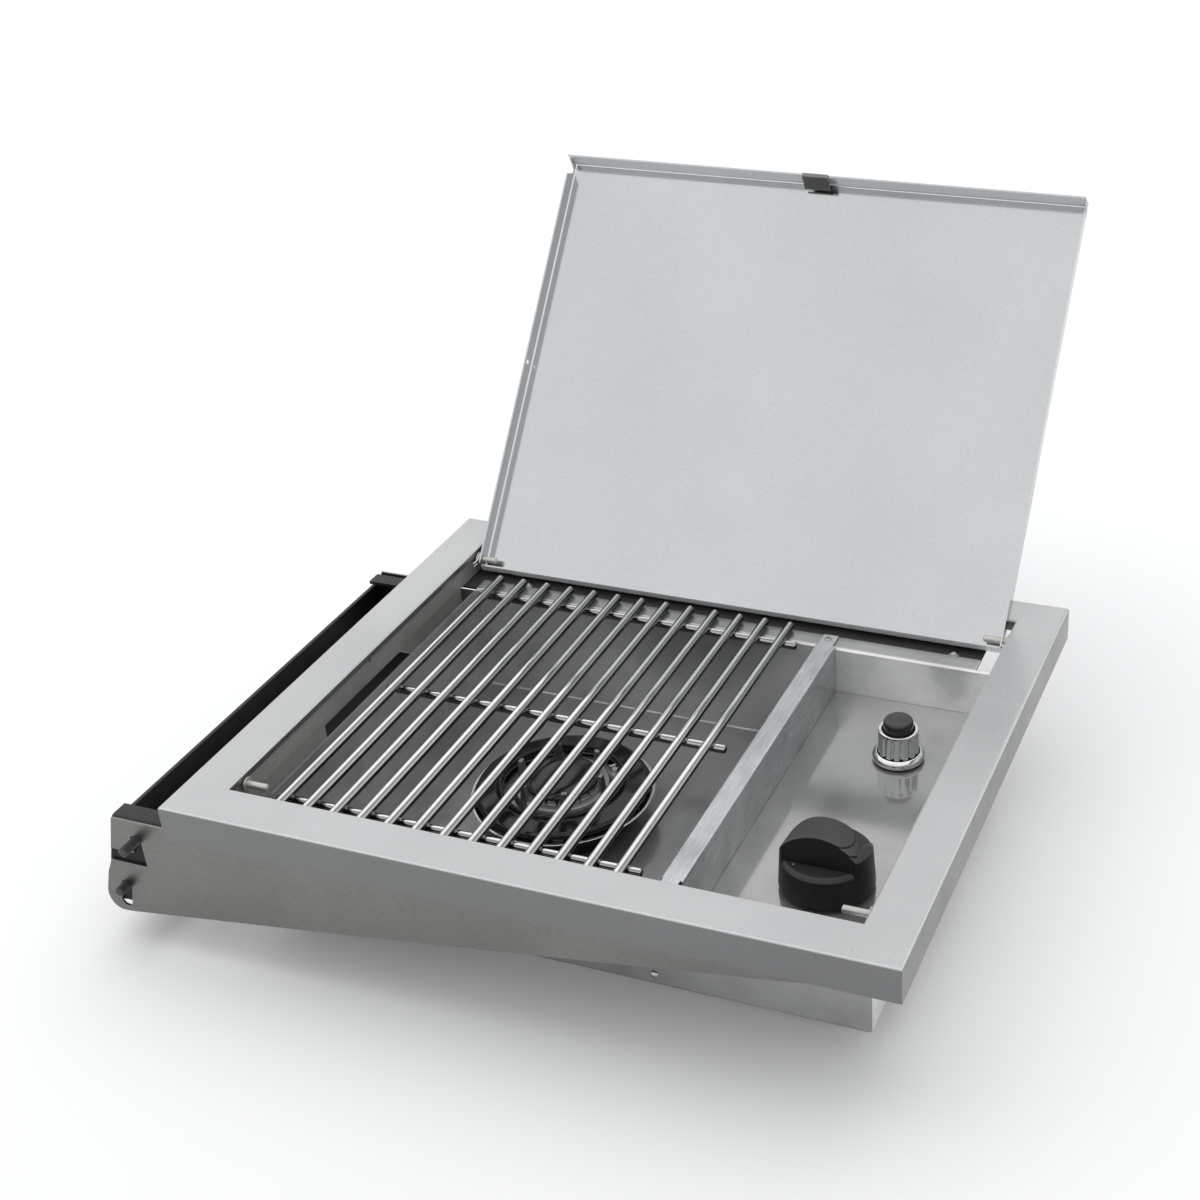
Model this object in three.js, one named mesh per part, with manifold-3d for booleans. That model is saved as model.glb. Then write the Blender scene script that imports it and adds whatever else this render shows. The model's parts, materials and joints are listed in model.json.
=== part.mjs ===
// Built-in side burner: a stainless drop-in frame with lid, grate, one burner, valve and igniter.
// Millimetres, Z up. The values below stand in the frame's own coordinates:
// X to the right, Y to the back, Z up, zero at the outer front left corner of the top frame.
// The assembly is moved at the end, so that the origin is the middle of the face that meets the cart.
import * as THREE from "three";
import { mergeVertices } from "three/addons/utils/BufferGeometryUtils.js";
import Module from "manifold-3d";

const wasm = await Module();
wasm.setup();

// Driving dimensions
const frame_width = 400;
const frame_depth = 334;
const frame_height = 21;
const ring_outer = 50;
const bar_radius = 2.75;
const knob_skirt_radius = 25.3;

// Fits shared by all pieces
const gap = 0.3;
const overrun = 5;
const sunk = 0.5;
const quarter = Math.PI / 2;

// Segment counts
const arc_steps = 3;
const small_segments = 12;
const round_segments = 24;
const large_segments = 36;
const fine_segments = 72;
const hex_sides = 6;
const wire_sides = 8;
const pipe_steps = 60;
const pipe_sides = 10;
const bore_sides = 6;
const clip_steps = 14;
const lead_steps = 36;

// Top frame
const frame_sheet = 1.2;
const frame_bend = 1.8;
const border_left = 26;
const border_right = 26.5;
const border_front = 25.5;
const border_rear = 23.9;
const lip_depth = 4.2;
const lip_bend = 1.3;
const opening_x0 = border_left;
const opening_x1 = frame_width - border_right;
const opening_y0 = border_front;
const opening_y1 = frame_depth - border_rear;
const opening_mid_x = (opening_x0 + opening_x1) / 2;

// Hinge pins and rest pins
const hinge_inset = 13.8;
const rest_inset = 14;
const pin_radius = 2;
const pin_z = -lip_depth - gap - pin_radius;
const hinge_y = opening_y1 - hinge_inset;
const rest_pin_y = opening_y0 + rest_inset;
const pin_reach_left = 15;
const pin_reach_right = 17;
const pin_head_radius = 3.4;
const pin_head_thick = 2;
const pin_collar_radius = 4;
const pin_collar_thick = 0.8;

// Lid
const lid_clear_left = 2.9;
const lid_clear_right = 3.4;
const lid_clear_front = 0.5;
const lid_tail = 7.5;
const lid_x0 = opening_x0 + lid_clear_left;
const lid_x1 = opening_x1 - lid_clear_right;
const lid_y0 = opening_y0 + lid_clear_front;
const lid_y1 = hinge_y + lid_tail;
const lid_sheet = 1;
const lid_bend = 2;
const lid_flange = 10;
const lid_lip = 13.5;
const lid_return_run = 3;
const lid_return_drop = 7.2;
const lid_hole_radius = 1.7;
const corner_notch_length = 10.4;
const corner_notch_shares = [
  [0.02, 1.06], [0.16, 0.84], [0.32, 0.47], [0.44, 0.24], [0.67, 0.22], [1, 1],
];
const tab_width = 16.8;
const tab_sheet = 1;
const tab_bend = 1.3;
const tab_run = 4;
const tab_rise = 10.5;

// Opening angle at which the lid's outer face lies on the rear edge of the opening
const stop_y = opening_y1 + lip_bend - hinge_y;
const stop_z = -lip_bend - pin_z;
const stop_reach = Math.hypot(stop_y, stop_z);
const stop_face = -pin_z + lip_bend + gap;
const lid_open = quarter + Math.acos(stop_face / stop_reach) - Math.atan2(stop_z, stop_y);

// Levels of the sheet work
const rim_z = -15.7;
const box_sheet = 1;
const rail_sheet = 1.2;
const rail_z = rim_z - box_sheet - gap;

// Burner box
const box_inset_left = 9;
const box_inset_right = 2;
const box_inset_front = 17;
const box_inset_hinge = 20.8;
const box_x0 = opening_x0 + box_inset_left;
const box_x1 = opening_x1 - box_inset_right;
const box_y0 = opening_y0 + box_inset_front;
const box_y1 = hinge_y - box_inset_hinge;
const box_floor_z = -85.5;
const box_bend = 1.5;
const box_corner = 3;
const rim_width = 12;
const rim_nose = 2;
const rim_cut_back = 12.5;
const rim_x1 = box_x1 - rim_cut_back;
const box_inner_x0 = box_x0 + box_sheet;
const box_inner_x1 = box_x1 - box_sheet;
const box_inner_y0 = box_y0 + box_sheet;
const box_inner_y1 = box_y1 - box_sheet;
const box_mid_y = (box_inner_y0 + box_inner_y1) / 2;

// Support rails below the rims
const rail_x0 = 14;
const rail_upstand = 11;
const rail_upstand_x0 = 28;
const rail_front_y0 = 3;

// Side panels below the left and right borders
const panel_sheet = 1.2;
const panel_flange = 15;
const panel_margin_y = 5;
const panel_hole_z = -6.2;
const panel_hole_radius = 1.5;
const left_panel_x = opening_x0 - frame_sheet - gap;
const right_panel_x = opening_x1 + frame_sheet + gap;
const left_pin_tip_x = left_panel_x + pin_reach_left;
const right_pin_tip_x = right_panel_x - pin_reach_right;

// Wings: the left end is in shares of the wing's height, the lower edge in shares of its length too
const wing_sheet = 1.2;
const wing_top_z = -15.5;
const wing_left_x = -34;
const wing_height = 64;
const wing_rear_step_x = 12;
const wing_tip_inset = 40;
const wing_tip_x = frame_width - wing_tip_inset;
const wing_front_y = frame_sheet + gap;
const wing_rear_y = box_y1 + gap;
const wing_end_shares = [
  [0.087, 0.33], [0.122, 0.473], [0.181, 0.598], [0.241, 0.797], [0.248, 0.855], [0.236, 0.908],
  [0.217, 0.95], [0.184, 0.98], [0.148, 0.995], [0.109, 0.998], [0.02, 0.991],
];
const wing_edge_shares = [[0.3632, 0.6766], [0.5904, 0.4719], [0.9472, 0.1469], [1, 0.0906]];
const hook_slot_shares = [0.33, 0.453];
const upper_bolt_shares = [-0.195, 0.195];
const lower_bolt_shares = [0.027, 0.711];
const lower_slot_end_shares = [0.066, 0.884];
const bolt_radius = 2.75;
const bolt_slot_radius = 3.3;
const bolt_head_radius = 5;
const bolt_head_thick = 3.6;
const upper_bolt_out = 11.5;
const lower_bolt_out = 7;

// Mounting bracket on the cart side
const bracket_sheet = 2;
const bracket_top_x = -35.8;
const bracket_top_z = -20;
const bracket_bottom_x = -51.2;
const bracket_bottom_z = -75;
const bracket_flange = 12;
const bracket_bend = 3;
const bracket_y0 = wing_front_y + wing_sheet + gap;
const bracket_y1 = wing_rear_y - gap;
const ear_x1 = -1.5;
const ear_top_z = wing_top_z - gap;
const ear_shares = [[-0.328, 0.35], [-0.125, 0.85]];

// Divider between burner and controls
const recess_width = 97.5;
const divider_width = 12;
const divider_x1 = box_x1 - recess_width;
const divider_x0 = divider_x1 - divider_width;
const divider_sheet = 1;
const divider_bend = 1.5;
const divider_top_z = rim_z + gap + divider_sheet;
const divider_tab_inset = 1.5;
const divider_tab_end = 11;
const divider_foot = 12;
const divider_foot_height = 14;

// Control panel inside the box
const control_z = -46;
const control_flange = 10;
const control_x0 = divider_x0 + divider_sheet + gap;
const control_x1 = box_inner_x1 - gap;
const under_panel_z = control_z - box_sheet - gap;

// Holes in the box floor: below the controls, below the burner and at the electrode
const floor_hole_inset_left = 18;
const floor_hole_inset_right = 19.5;
const floor_hole_inset_front = 19.5;
const floor_hole_inset_rear = 21.5;
const floor_hole_x0 = divider_x1 + floor_hole_inset_left;
const floor_hole_x1 = box_x1 - floor_hole_inset_right;
const floor_hole_y0 = box_y0 + floor_hole_inset_front;
const floor_hole_y1 = box_y1 - floor_hole_inset_rear;
const jet_hole_radius = 10;
const lead_hole_radius = 3;

// Cooking grate
const bar_count = 13;
const bar_inset_left = 12.1;
const bar_inset_right = 20.3;
const bar_first_x = box_x0 + bar_inset_left;
const bar_last_x = divider_x0 - bar_inset_right;
const bar_pitch = (bar_last_x - bar_first_x) / (bar_count - 1);
const bar_on_rim = 11.1;
const bar_half_length = (box_y1 - box_y0) / 2 + bar_on_rim;
const bar_chamfer = 0.8;
const cross_radius = 2.5;
const cross_inset_left = 3.9;
const cross_inset_right = 11;
const cross_x0 = box_x0 + cross_inset_left;
const cross_x1 = divider_x0 - cross_inset_right;
const cross_weld = 0.9;
const bar_z = rim_z + gap + bar_radius;
const cross_z = bar_z - bar_radius - cross_radius + cross_weld;
const cross_half_span = (box_inner_y1 - box_inner_y0) / 2 - gap - cross_radius;

// Trim ring and bowl
const burner_inset = 112;
const burner_x = box_x0 + burner_inset;
const burner_y = box_mid_y;
const ring_width = 16.2;
const ring_inner = ring_outer - ring_width;
const ring_bead = 1.5;
const ring_z = -62.3;
const ring_sheet = 1.2;
const ring_edge_drop = 3;
const ring_support_count = 4;
const ring_support_width = 6;
const ring_support_reach = ring_outer - ring_sheet - gap;
const bowl_rim_reach = 3.5;
const bowl_waist_step = 7.5;
const bowl_foot_step = 14.5;
const bowl_rim_radius = ring_outer + bowl_rim_reach;
const bowl_waist_radius = bowl_rim_radius - bowl_waist_step;
const bowl_foot_radius = bowl_rim_radius - bowl_foot_step;
const bowl_rim_z = ring_z - ring_edge_drop - ring_sheet - gap;
const bowl_waist_z = -72;
const bowl_sheet = 0.8;

// Burner base, head and cap
const base_flange_reach = 0.7;
const base_chamber_step = 17.5;
const base_flange_radius = ring_inner + base_flange_reach;
const base_chamber_radius = base_flange_radius - base_chamber_step;
const base_wall = 3;
const base_flange_z = -66;
const base_flange_thick = 2.5;
const throat_radius = 4.6;
const throat_top_z = -74;
const throat_bottom_z = -77;
const window_count = 4;
const window_width = 12;
const head_inset = 6.8;
const head_radius = ring_inner - head_inset;
const head_flare = 2;
const head_step = 5.5;
const head_step_radius = head_radius - head_step;
const head_wall = 4;
const head_roof = 1.5;
const head_top_z = -59.6;
const head_bottom_z = base_flange_z + gap;
const head_shoulder_z = -61.8;
const port_count = 20;
const port_width = 1.4;
const port_height = 2.2;
const prong_count = 6;
const prong_inset = 1.8;
const prong_radius = head_radius - prong_inset;
const prong_top_z = -51;
const prong_base_width = 8;
const prong_top_width = 3.4;
const prong_thick = 2.6;
const cap_radius = head_step_radius + gap;
const cap_top_z = -56.2;
const cap_edge = 1.6;

// Gas valve
const knob_inset_right = 42.9;
const knob_inset_front = 58.2;
const knob_x = box_x1 - knob_inset_right;
const knob_y = box_y0 + knob_inset_front;
const valve_radius = 11;
const valve_bottom_z = -84;
const valve_neck_radius = 7.5;
const valve_neck_top_z = -41.8;
const valve_seat_bore = 5.8;
const valve_seat_bore_z = -52;
const valve_flange_radius = 17;
const valve_flange_thick = 2;
const stem_radius = 3;
const stem_flat = 1;
const stem_bottom_z = -60;
const stem_top_z = -31.5;
const stem_play = 2;
const seat_ring_outer = 5.5;
const seat_ring_z0 = -45;
const seat_ring_z1 = -42.4;
const outlet_z = -78;
const outlet_radius = 5.5;
const outlet_reach = 24.6;
const outlet_x = knob_x - outlet_reach;
const inlet_hex_radius = 8;
const inlet_hex_z0 = -91;
const inlet_thread_radius = 6.5;
const inlet_bore = 3;
const inlet_end_z = -100;
const socket_depth = 3;

// Feed pipe, jet holder and jet below the box floor
const pipe_radius = 3;
const pipe_bore = 2;
const pipe_bend = 6;
const pipe_sweep = 12;
const pipe_z = -92;
const pipe_drop_run = 1;
const pipe_turn_reach = 43;
const pipe_drop_x = outlet_x - pipe_bend - pipe_drop_run;
const pipe_turn_x = burner_x + pipe_turn_reach;
const holder_top_z = box_floor_z - box_sheet - gap;
const holder_bottom_z = -97;
const holder_radius = 9;
const holder_flange_radius = 14;
const holder_flange_thick = 2;
const jet_radius = 3;
const jet_hex_radius = 4.4;
const jet_hex_height = 2.5;
const jet_top_z = -80.5;
const jet_bore = 0.7;

// Control knob
const knob_top_radius = 22.9;
const knob_bottom_z = -43.1;
const knob_shelf_z = -24.6;
const knob_rim_z = -22.6;
const knob_wall_offset = 13.7;
const knob_top_z = -6.9;
const knob_back_drop = 16.5;
const knob_hump_radius = 20.9;
const knob_hump_shift = 0.5;
const knob_chamfer_drop = 3.3;
const knob_chamfer_inset = 1.2;
const knob_hollow_radius = 19.5;
const knob_hollow_top_z = -33;
const knob_boss_radius = 7;
const knob_boss_z = -39;
const knob_step_count = 2;
const knob_step_drop = 1;
const knob_step_first = 13;
const knob_step_pitch = 4.6;
const knob_step_arc = 43.8;
const knob_step_back = 2.7;
const knob_dot_radius = 0.9;
const knob_dot_depth = 0.35;
const knob_dot_x = -12.6;
const knob_dot_y = -16;
const push_travel = 2.5;

// Push-button igniter
const igniter_inset_right = 41.3;
const igniter_inset_rear = 56.3;
const igniter_x = box_x1 - igniter_inset_right;
const igniter_y = box_y1 - igniter_inset_rear;
const gasket_height = 0.7;
const bezel_radius = 14.8;
const bezel_height = 4.8;
const bezel_dish = 1.2;
const barrel_radius = 11.45;
const barrel_taper = 0.5;
const barrel_top_z = -25.5;
const barrel_edge = 1;
const barrel_bore = 9;
const barrel_flutes = 14;
const flute_depth = 0.6;
const flute_width = 3.2;
const flute_top_z = -27.5;
const barrel_bottom_z = -56;
const button_radius = 8.6;
const button_top_z = -18.3;
const button_dome = 2.2;
const button_edge = 0.9;
const button_crown = 3;
const button_bottom_z = -48;
const igniter_body_radius = 13;
const igniter_body_bottom_z = -80;
const igniter_body_floor = 6;
const terminal_radius = 1.5;
const terminal_length = 4;
const terminal_height = 3;

// Ignition electrode, its lead and the hairpin clip
const electrode_angle = 40 * Math.PI / 180;
const electrode_inset = 3.1;
const electrode_radius = base_flange_radius - electrode_inset;
const electrode_x = burner_x + electrode_radius * Math.cos(electrode_angle);
const electrode_y = burner_y + electrode_radius * Math.sin(electrode_angle);
const ceramic_radius = 1.5;
const ceramic_collar = 0.6;
const ceramic_collar_height = 2;
const ceramic_top_z = -60.2;
const ceramic_bottom_z = -83;
const tip_radius = 0.6;
const tip_top_z = -57.4;
const tip_reach = 3;
const lead_radius = 1.2;
const lead_z = -89.5;
const lead_bend = 6;
const hairpin_wire = 0.6;
const hairpin_x = left_panel_x + frame_sheet + 2 * gap + pin_collar_thick + gap + hairpin_wire;
const hairpin_reach = 10;
const hairpin_pinch = 1.1;
const hairpin_steps = 4;

// Helpers
const vector = (x, y, z) => new THREE.Vector3(x, y, z);

function solid(geometry) {
  const plain = geometry.clone();
  plain.deleteAttribute("normal");
  plain.deleteAttribute("uv");
  const merged = mergeVertices(plain);
  const index = merged.index.array;
  const kept = [];
  for (let i = 0; i < index.length; i += 3) {
    const [a, b, c] = [index[i], index[i + 1], index[i + 2]];
    if (a !== b && b !== c && c !== a) {
      kept.push(a, b, c);
    }
  }
  const build = (triangles) => new wasm.Manifold(new wasm.Mesh({
    numProp: 3,
    vertProperties: new Float32Array(merged.attributes.position.array),
    triVerts: new Uint32Array(triangles),
  }));
  const made = build(kept);
  if (made.volume() > 0) {
    return made;
  }
  const flipped = [];
  for (let i = 0; i < kept.length; i += 3) {
    flipped.push(kept[i], kept[i + 2], kept[i + 1]);
  }
  return build(flipped);
}

const join = (...parts) => parts.flat().reduce((sum, part) => sum.add(part));
const cut = (part, ...tools) => tools.flat().reduce((rest, tool) => rest.subtract(tool), part);

function block(x0, x1, y0, y1, z0, z1) {
  const geometry = new THREE.BoxGeometry(x1 - x0, y1 - y0, z1 - z0);
  geometry.translate((x0 + x1) / 2, (y0 + y1) / 2, (z0 + z1) / 2);
  return solid(geometry);
}

function prism(points, from, to, basis) {
  const shape = new THREE.Shape(points.map(([a, b]) => new THREE.Vector2(a, b)));
  const geometry = new THREE.ExtrudeGeometry(shape, { depth: to - from, bevelEnabled: false });
  geometry.applyMatrix4(basis);
  return geometry;
}

function prismX(points, x0, x1) {
  const basis = new THREE.Matrix4().makeBasis(vector(0, 1, 0), vector(0, 0, 1), vector(1, 0, 0));
  return solid(prism(points, x0, x1, basis).translate(x0, 0, 0));
}

function prismY(points, y0, y1) {
  const basis = new THREE.Matrix4().makeBasis(vector(1, 0, 0), vector(0, 0, 1), vector(0, -1, 0));
  return solid(prism(points, y0, y1, basis).translate(0, y1, 0));
}

function prismZ(points, z0, z1) {
  return solid(prism(points, z0, z1, new THREE.Matrix4()).translate(0, 0, z0));
}

function rod(a, b, radius, segments = round_segments, endRadius = radius) {
  const direction = b.clone().sub(a);
  const geometry = new THREE.CylinderGeometry(endRadius, radius, direction.length(), segments);
  geometry.applyQuaternion(new THREE.Quaternion().setFromUnitVectors(vector(0, 1, 0),
    direction.normalize()));
  const middle = a.clone().add(b).multiplyScalar(0.5);
  return solid(geometry.translate(middle.x, middle.y, middle.z));
}

const rodX = (x0, x1, y, z, radius, segments) => rod(vector(x0, y, z), vector(x1, y, z), radius,
  segments);
const rodY = (x, y0, y1, z, radius, segments) => rod(vector(x, y0, z), vector(x, y1, z), radius,
  segments);
const rodZ = (x, y, z0, z1, radius, segments) => rod(vector(x, y, z0), vector(x, y, z1), radius,
  segments);

function turned(profile, x, y, segments = large_segments) {
  const points = profile.map(([radius, z]) => new THREE.Vector2(radius, z));
  const geometry = new THREE.LatheGeometry(points, segments);
  geometry.rotateX(quarter);
  return solid(geometry.translate(x, y, 0));
}

function tube(curve, radius, steps, segments = small_segments) {
  const ring = [];
  for (let i = 0; i < segments; i += 1) {
    const angle = i * 2 * Math.PI / segments;
    ring.push(new THREE.Vector2(radius * Math.cos(angle), radius * Math.sin(angle)));
  }
  return solid(new THREE.ExtrudeGeometry(new THREE.Shape(ring),
    { steps, extrudePath: curve, bevelEnabled: false }));
}

function roundedEnds(a, b, radius, chamfer, segments = small_segments) {
  const length = b.clone().sub(a).length();
  const profile = [[0, 0], [radius - chamfer, 0], [radius, chamfer], [radius, length - chamfer],
    [radius - chamfer, length], [0, length]];
  const points = profile.map(([r, h]) => new THREE.Vector2(r, h));
  const geometry = new THREE.LatheGeometry(points, segments);
  const direction = b.clone().sub(a).normalize();
  geometry.applyQuaternion(new THREE.Quaternion().setFromUnitVectors(vector(0, 1, 0), direction));
  return solid(geometry.translate(a.x, a.y, a.z));
}

// Profile of a sheet folded along a line of corners, the thickness lying on one side of the line
function folded(corners, radii, sheet, side) {
  const face = [];
  const back = [];
  const last = corners.length - 1;
  const normal = (p, q) => {
    const along = new THREE.Vector2().subVectors(q, p).normalize();
    return new THREE.Vector2(-along.y, along.x).multiplyScalar(side);
  };
  const points = corners.map(([a, b]) => new THREE.Vector2(a, b));
  const push = (p, n) => {
    face.push([p.x, p.y]);
    back.push([p.x + n.x * sheet, p.y + n.y * sheet]);
  };
  push(points[0], normal(points[0], points[1]));
  for (let i = 1; i < last; i += 1) {
    const n0 = normal(points[i - 1], points[i]);
    const n1 = normal(points[i], points[i + 1]);
    const turn = Math.acos(n0.dot(n1));
    const outward = Math.sign(n0.cross(n1)) * side;
    const radius = radii[i - 1];
    const reach = radius / Math.cos(turn / 2);
    const bisector = n0.clone().add(n1).normalize();
    const centre = points[i].clone().addScaledVector(bisector, outward * reach);
    const start = n0.angle();
    const sweep = Math.sign(n0.cross(n1)) * turn;
    for (let s = 0; s <= arc_steps; s += 1) {
      const angle = start + sweep * s / arc_steps;
      const n = new THREE.Vector2(Math.cos(angle), Math.sin(angle));
      push(centre.clone().addScaledVector(n, -outward * radius), n);
    }
  }
  push(points[last], normal(points[last - 1], points[last]));
  return face.concat(back.reverse());
}

// Profile of a block whose two upper corners are rounded
function domedProfile(a0, a1, z0, z1, radius) {
  const points = [[a0, z0], [a1, z0]];
  for (let s = 0; s <= arc_steps; s += 1) {
    const angle = quarter * s / arc_steps;
    points.push([a1 - radius + radius * Math.cos(angle), z1 - radius + radius * Math.sin(angle)]);
  }
  for (let s = 0; s <= arc_steps; s += 1) {
    const angle = quarter * s / arc_steps;
    points.push([a0 + radius - radius * Math.sin(angle), z1 - radius + radius * Math.cos(angle)]);
  }
  return points;
}

// Profile of a cut whose two upper corners widen along a quarter circle
function flaredProfile(a0, a1, z0, z1, radius, above) {
  const points = [[a0, z0], [a1, z0]];
  for (let s = 0; s <= arc_steps; s += 1) {
    const angle = quarter * s / arc_steps;
    points.push([a1 + radius - radius * Math.cos(angle), z1 - radius + radius * Math.sin(angle)]);
  }
  points.push([a1 + radius, z1 + above], [a0 - radius, z1 + above]);
  for (let s = 0; s <= arc_steps; s += 1) {
    const angle = quarter * s / arc_steps;
    points.push([a0 - radius + radius * Math.sin(angle), z1 - radius + radius * Math.cos(angle)]);
  }
  return points;
}

function domedBlock(x0, x1, y0, y1, z0, z1, radius) {
  const along = prismY(domedProfile(x0, x1, z0, z1, radius), y0, y1);
  return along.intersect(prismX(domedProfile(y0, y1, z0, z1, radius), x0, x1));
}

function flaredBlock(x0, x1, y0, y1, z0, z1, radius, above) {
  const along = prismY(flaredProfile(x0, x1, z0, z1, radius, above), y0 - radius, y1 + radius);
  return along.intersect(prismX(flaredProfile(y0, y1, z0, z1, radius, above), x0 - radius, x1 + radius));
}

const materials = {};

function material(slot, colour, metalness, roughness) {
  const made = new THREE.MeshStandardMaterial({ color: colour, metalness, roughness });
  made.name = slot;
  materials[slot] = made;
}

material("stainless", 0xb9bbbb, 1, 0.35);
material("polished", 0xa9abac, 1, 0.16);
material("galvanised", 0xa7abb0, 1, 0.42);
material("black_steel", 0x1c1c1d, 0.1, 0.5);
material("enamel", 0x101011, 0, 0.15);
material("cast_aluminium", 0x9b9d9e, 1, 0.5);
material("pipe_aluminium", 0xb4b6b8, 1, 0.35);
material("chrome", 0xdadcde, 1, 0.06);
material("black_plastic", 0x1d1d1e, 0, 0.45);
material("brass", 0xb08d4c, 1, 0.3);
material("ceramic", 0xe9e6df, 0, 0.35);
material("lead_cover", 0x222223, 0, 0.6);

const group = new THREE.Group();
group.name = "side_burner";

function toMesh(name, slot, part, turn = 0) {
  const mesh = part.getMesh();
  const geometry = new THREE.BufferGeometry();
  geometry.setAttribute("position", new THREE.BufferAttribute(new Float32Array(mesh.vertProperties), 3));
  geometry.setIndex(new THREE.BufferAttribute(new Uint32Array(mesh.triVerts), 1));
  if (turn) {
    geometry.translate(0, -hinge_y, -pin_z);
    geometry.rotateX(turn);
    geometry.translate(0, hinge_y, pin_z);
  }
  geometry.computeVertexNormals();
  const made = new THREE.Mesh(geometry, materials[slot]);
  made.name = name;
  group.add(made);
}

// Top frame: a folded pan with a turned-down lip round the opening and notches for the wings
function topFrame() {
  const outer = domedBlock(0, frame_width, 0, frame_depth, -frame_height, 0, frame_bend);
  const inner = domedBlock(frame_sheet, frame_width - frame_sheet, frame_sheet, frame_depth - frame_sheet,
    -frame_height - overrun, -frame_sheet, frame_bend - frame_sheet);
  const lip = flaredBlock(opening_x0 - frame_sheet, opening_x1 + frame_sheet, opening_y0 - frame_sheet,
    opening_y1 + frame_sheet, -lip_depth, -frame_sheet, lip_bend - frame_sheet, sunk);
  const opening = flaredBlock(opening_x0, opening_x1, opening_y0, opening_y1, -frame_height, 0,
    lip_bend, overrun);
  const notches = [wing_front_y, wing_rear_y].map((y) => block(
    -overrun, frame_sheet + sunk, y - gap, y + wing_sheet + gap, -frame_height - overrun,
      wing_top_z + gap));
  return cut(cut(outer, inner).add(lip), opening, notches);
}

// Side panel: web with an outward top flange; the pins stick out of it
function sidePanel(inner_x, outward) {
  const x0 = Math.min(inner_x, inner_x + outward * panel_sheet);
  const y0 = wing_front_y + panel_margin_y;
  const y1 = frame_depth - frame_sheet - panel_margin_y;
  const top = -frame_sheet - gap;
  const web = block(x0, x0 + panel_sheet, y0, y1, rail_z + gap, top);
  const flange_end = inner_x + outward * panel_flange;
  const flange = block(Math.min(inner_x, flange_end), Math.max(inner_x, flange_end), y0, y1,
    top - panel_sheet, top);
  const holes = [hinge_y, rest_pin_y].map((y) => rodX(
    x0 - overrun, x0 + panel_sheet + overrun, y, pin_z, pin_radius + gap, small_segments));
  const small_hole = rodX(x0 - overrun, x0 + panel_sheet + overrun, (y0 + y1) / 2, panel_hole_z,
    panel_hole_radius, small_segments);
  return cut(web.add(flange), holes, small_hole);
}

function pin(panel_x, inward, tip_x, y) {
  const outer_x = panel_x - inward * (panel_sheet + gap);
  const shank = roundedEnds(vector(outer_x, y, pin_z), vector(tip_x, y, pin_z), pin_radius, bar_chamfer);
  const head = rod(vector(outer_x - inward * pin_head_thick, y, pin_z), vector(outer_x, y, pin_z),
    pin_head_radius, small_segments);
  const collar_x = panel_x + inward * (frame_sheet + 2 * gap);
  const collar = rod(vector(collar_x, y, pin_z), vector(collar_x + inward * pin_collar_thick, y, pin_z),
    pin_collar_radius, small_segments);
  return join(shank, head, collar);
}

// Hairpin clip: a wire bent round the pin, its two legs pinched together in front
function hairpin(x) {
  const bow = pin_radius + gap + hairpin_wire;
  const points = [];
  points.push(vector(x, hinge_y - hairpin_reach, pin_z + hairpin_pinch));
  points.push(vector(x, hinge_y - hairpin_reach / 2, pin_z + hairpin_pinch));
  for (let s = 0; s <= hairpin_steps; s += 1) {
    const angle = quarter - Math.PI * s / hairpin_steps;
    points.push(vector(x, hinge_y + bow * Math.cos(angle), pin_z + bow * Math.sin(angle)));
  }
  points.push(vector(x, hinge_y - hairpin_reach / 2, pin_z - hairpin_pinch));
  points.push(vector(x, hinge_y - hairpin_reach, pin_z - hairpin_pinch));
  return tube(new THREE.CatmullRomCurve3(points, false, "centripetal"), hairpin_wire, clip_steps,
    bore_sides);
}

// Lid, built closed and turned open by toMesh
function lidPan() {
  const across = folded([
    [lid_y1 - lid_return_run, -lid_return_drop], [lid_y1, 0], [lid_y0, 0], [lid_y0, -lid_lip],
  ], [lid_bend, lid_bend], lid_sheet, 1);
  const sides = folded([[lid_x0, -lid_flange], [lid_x0, 0], [lid_x1, 0], [lid_x1, -lid_flange]],
    [lid_bend, lid_bend], lid_sheet, -1);
  const flange_end = lid_y1 - lid_return_run;
  const body = join(prismX(across, lid_x0, lid_x1), prismY(sides, lid_y0, flange_end - lid_sheet));
  const envelope = domedBlock(lid_x0, lid_x1, lid_y0, lid_y1, -lid_lip - overrun, 0, lid_bend);
  const notch_y0 = lid_y0 + lid_sheet;
  const notch = corner_notch_shares.map(([along, down]) => [
    notch_y0 + along * corner_notch_length, -down * lid_flange,
  ]);
  const below = [[notch_y0 + corner_notch_length, -lid_lip], [notch_y0, -lid_lip]];
  const ends = [[lid_x0 - overrun, lid_x0 + overrun], [lid_x1 - overrun, lid_x1 + overrun]];
  const cuts = ends.flatMap(([a, b]) => [
    prismX([...notch, ...below], a, b),
    rodX(a, b, hinge_y, pin_z, pin_radius + gap, small_segments),
  ]);
  const lid_mid_y = (lid_y0 + lid_y1) / 2;
  const hole = rodX(lid_x0 - overrun, lid_x0 + overrun, lid_mid_y, pin_z, lid_hole_radius,
    small_segments);
  return cut(body.intersect(envelope), cuts, hole);
}

function lidTab() {
  const x0 = opening_mid_x - tab_width / 2;
  const x1 = opening_mid_x + tab_width / 2;
  const inner_y = lid_y0 + lid_sheet + gap + tab_sheet;
  const bottom = -lid_lip - gap - tab_sheet;
  const profile = folded([[inner_y + tab_run, bottom + tab_rise], [inner_y, bottom], [lid_y0, bottom]],
    [tab_bend], tab_sheet, -1);
  return prismX(profile, x0, x1);
}

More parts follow.
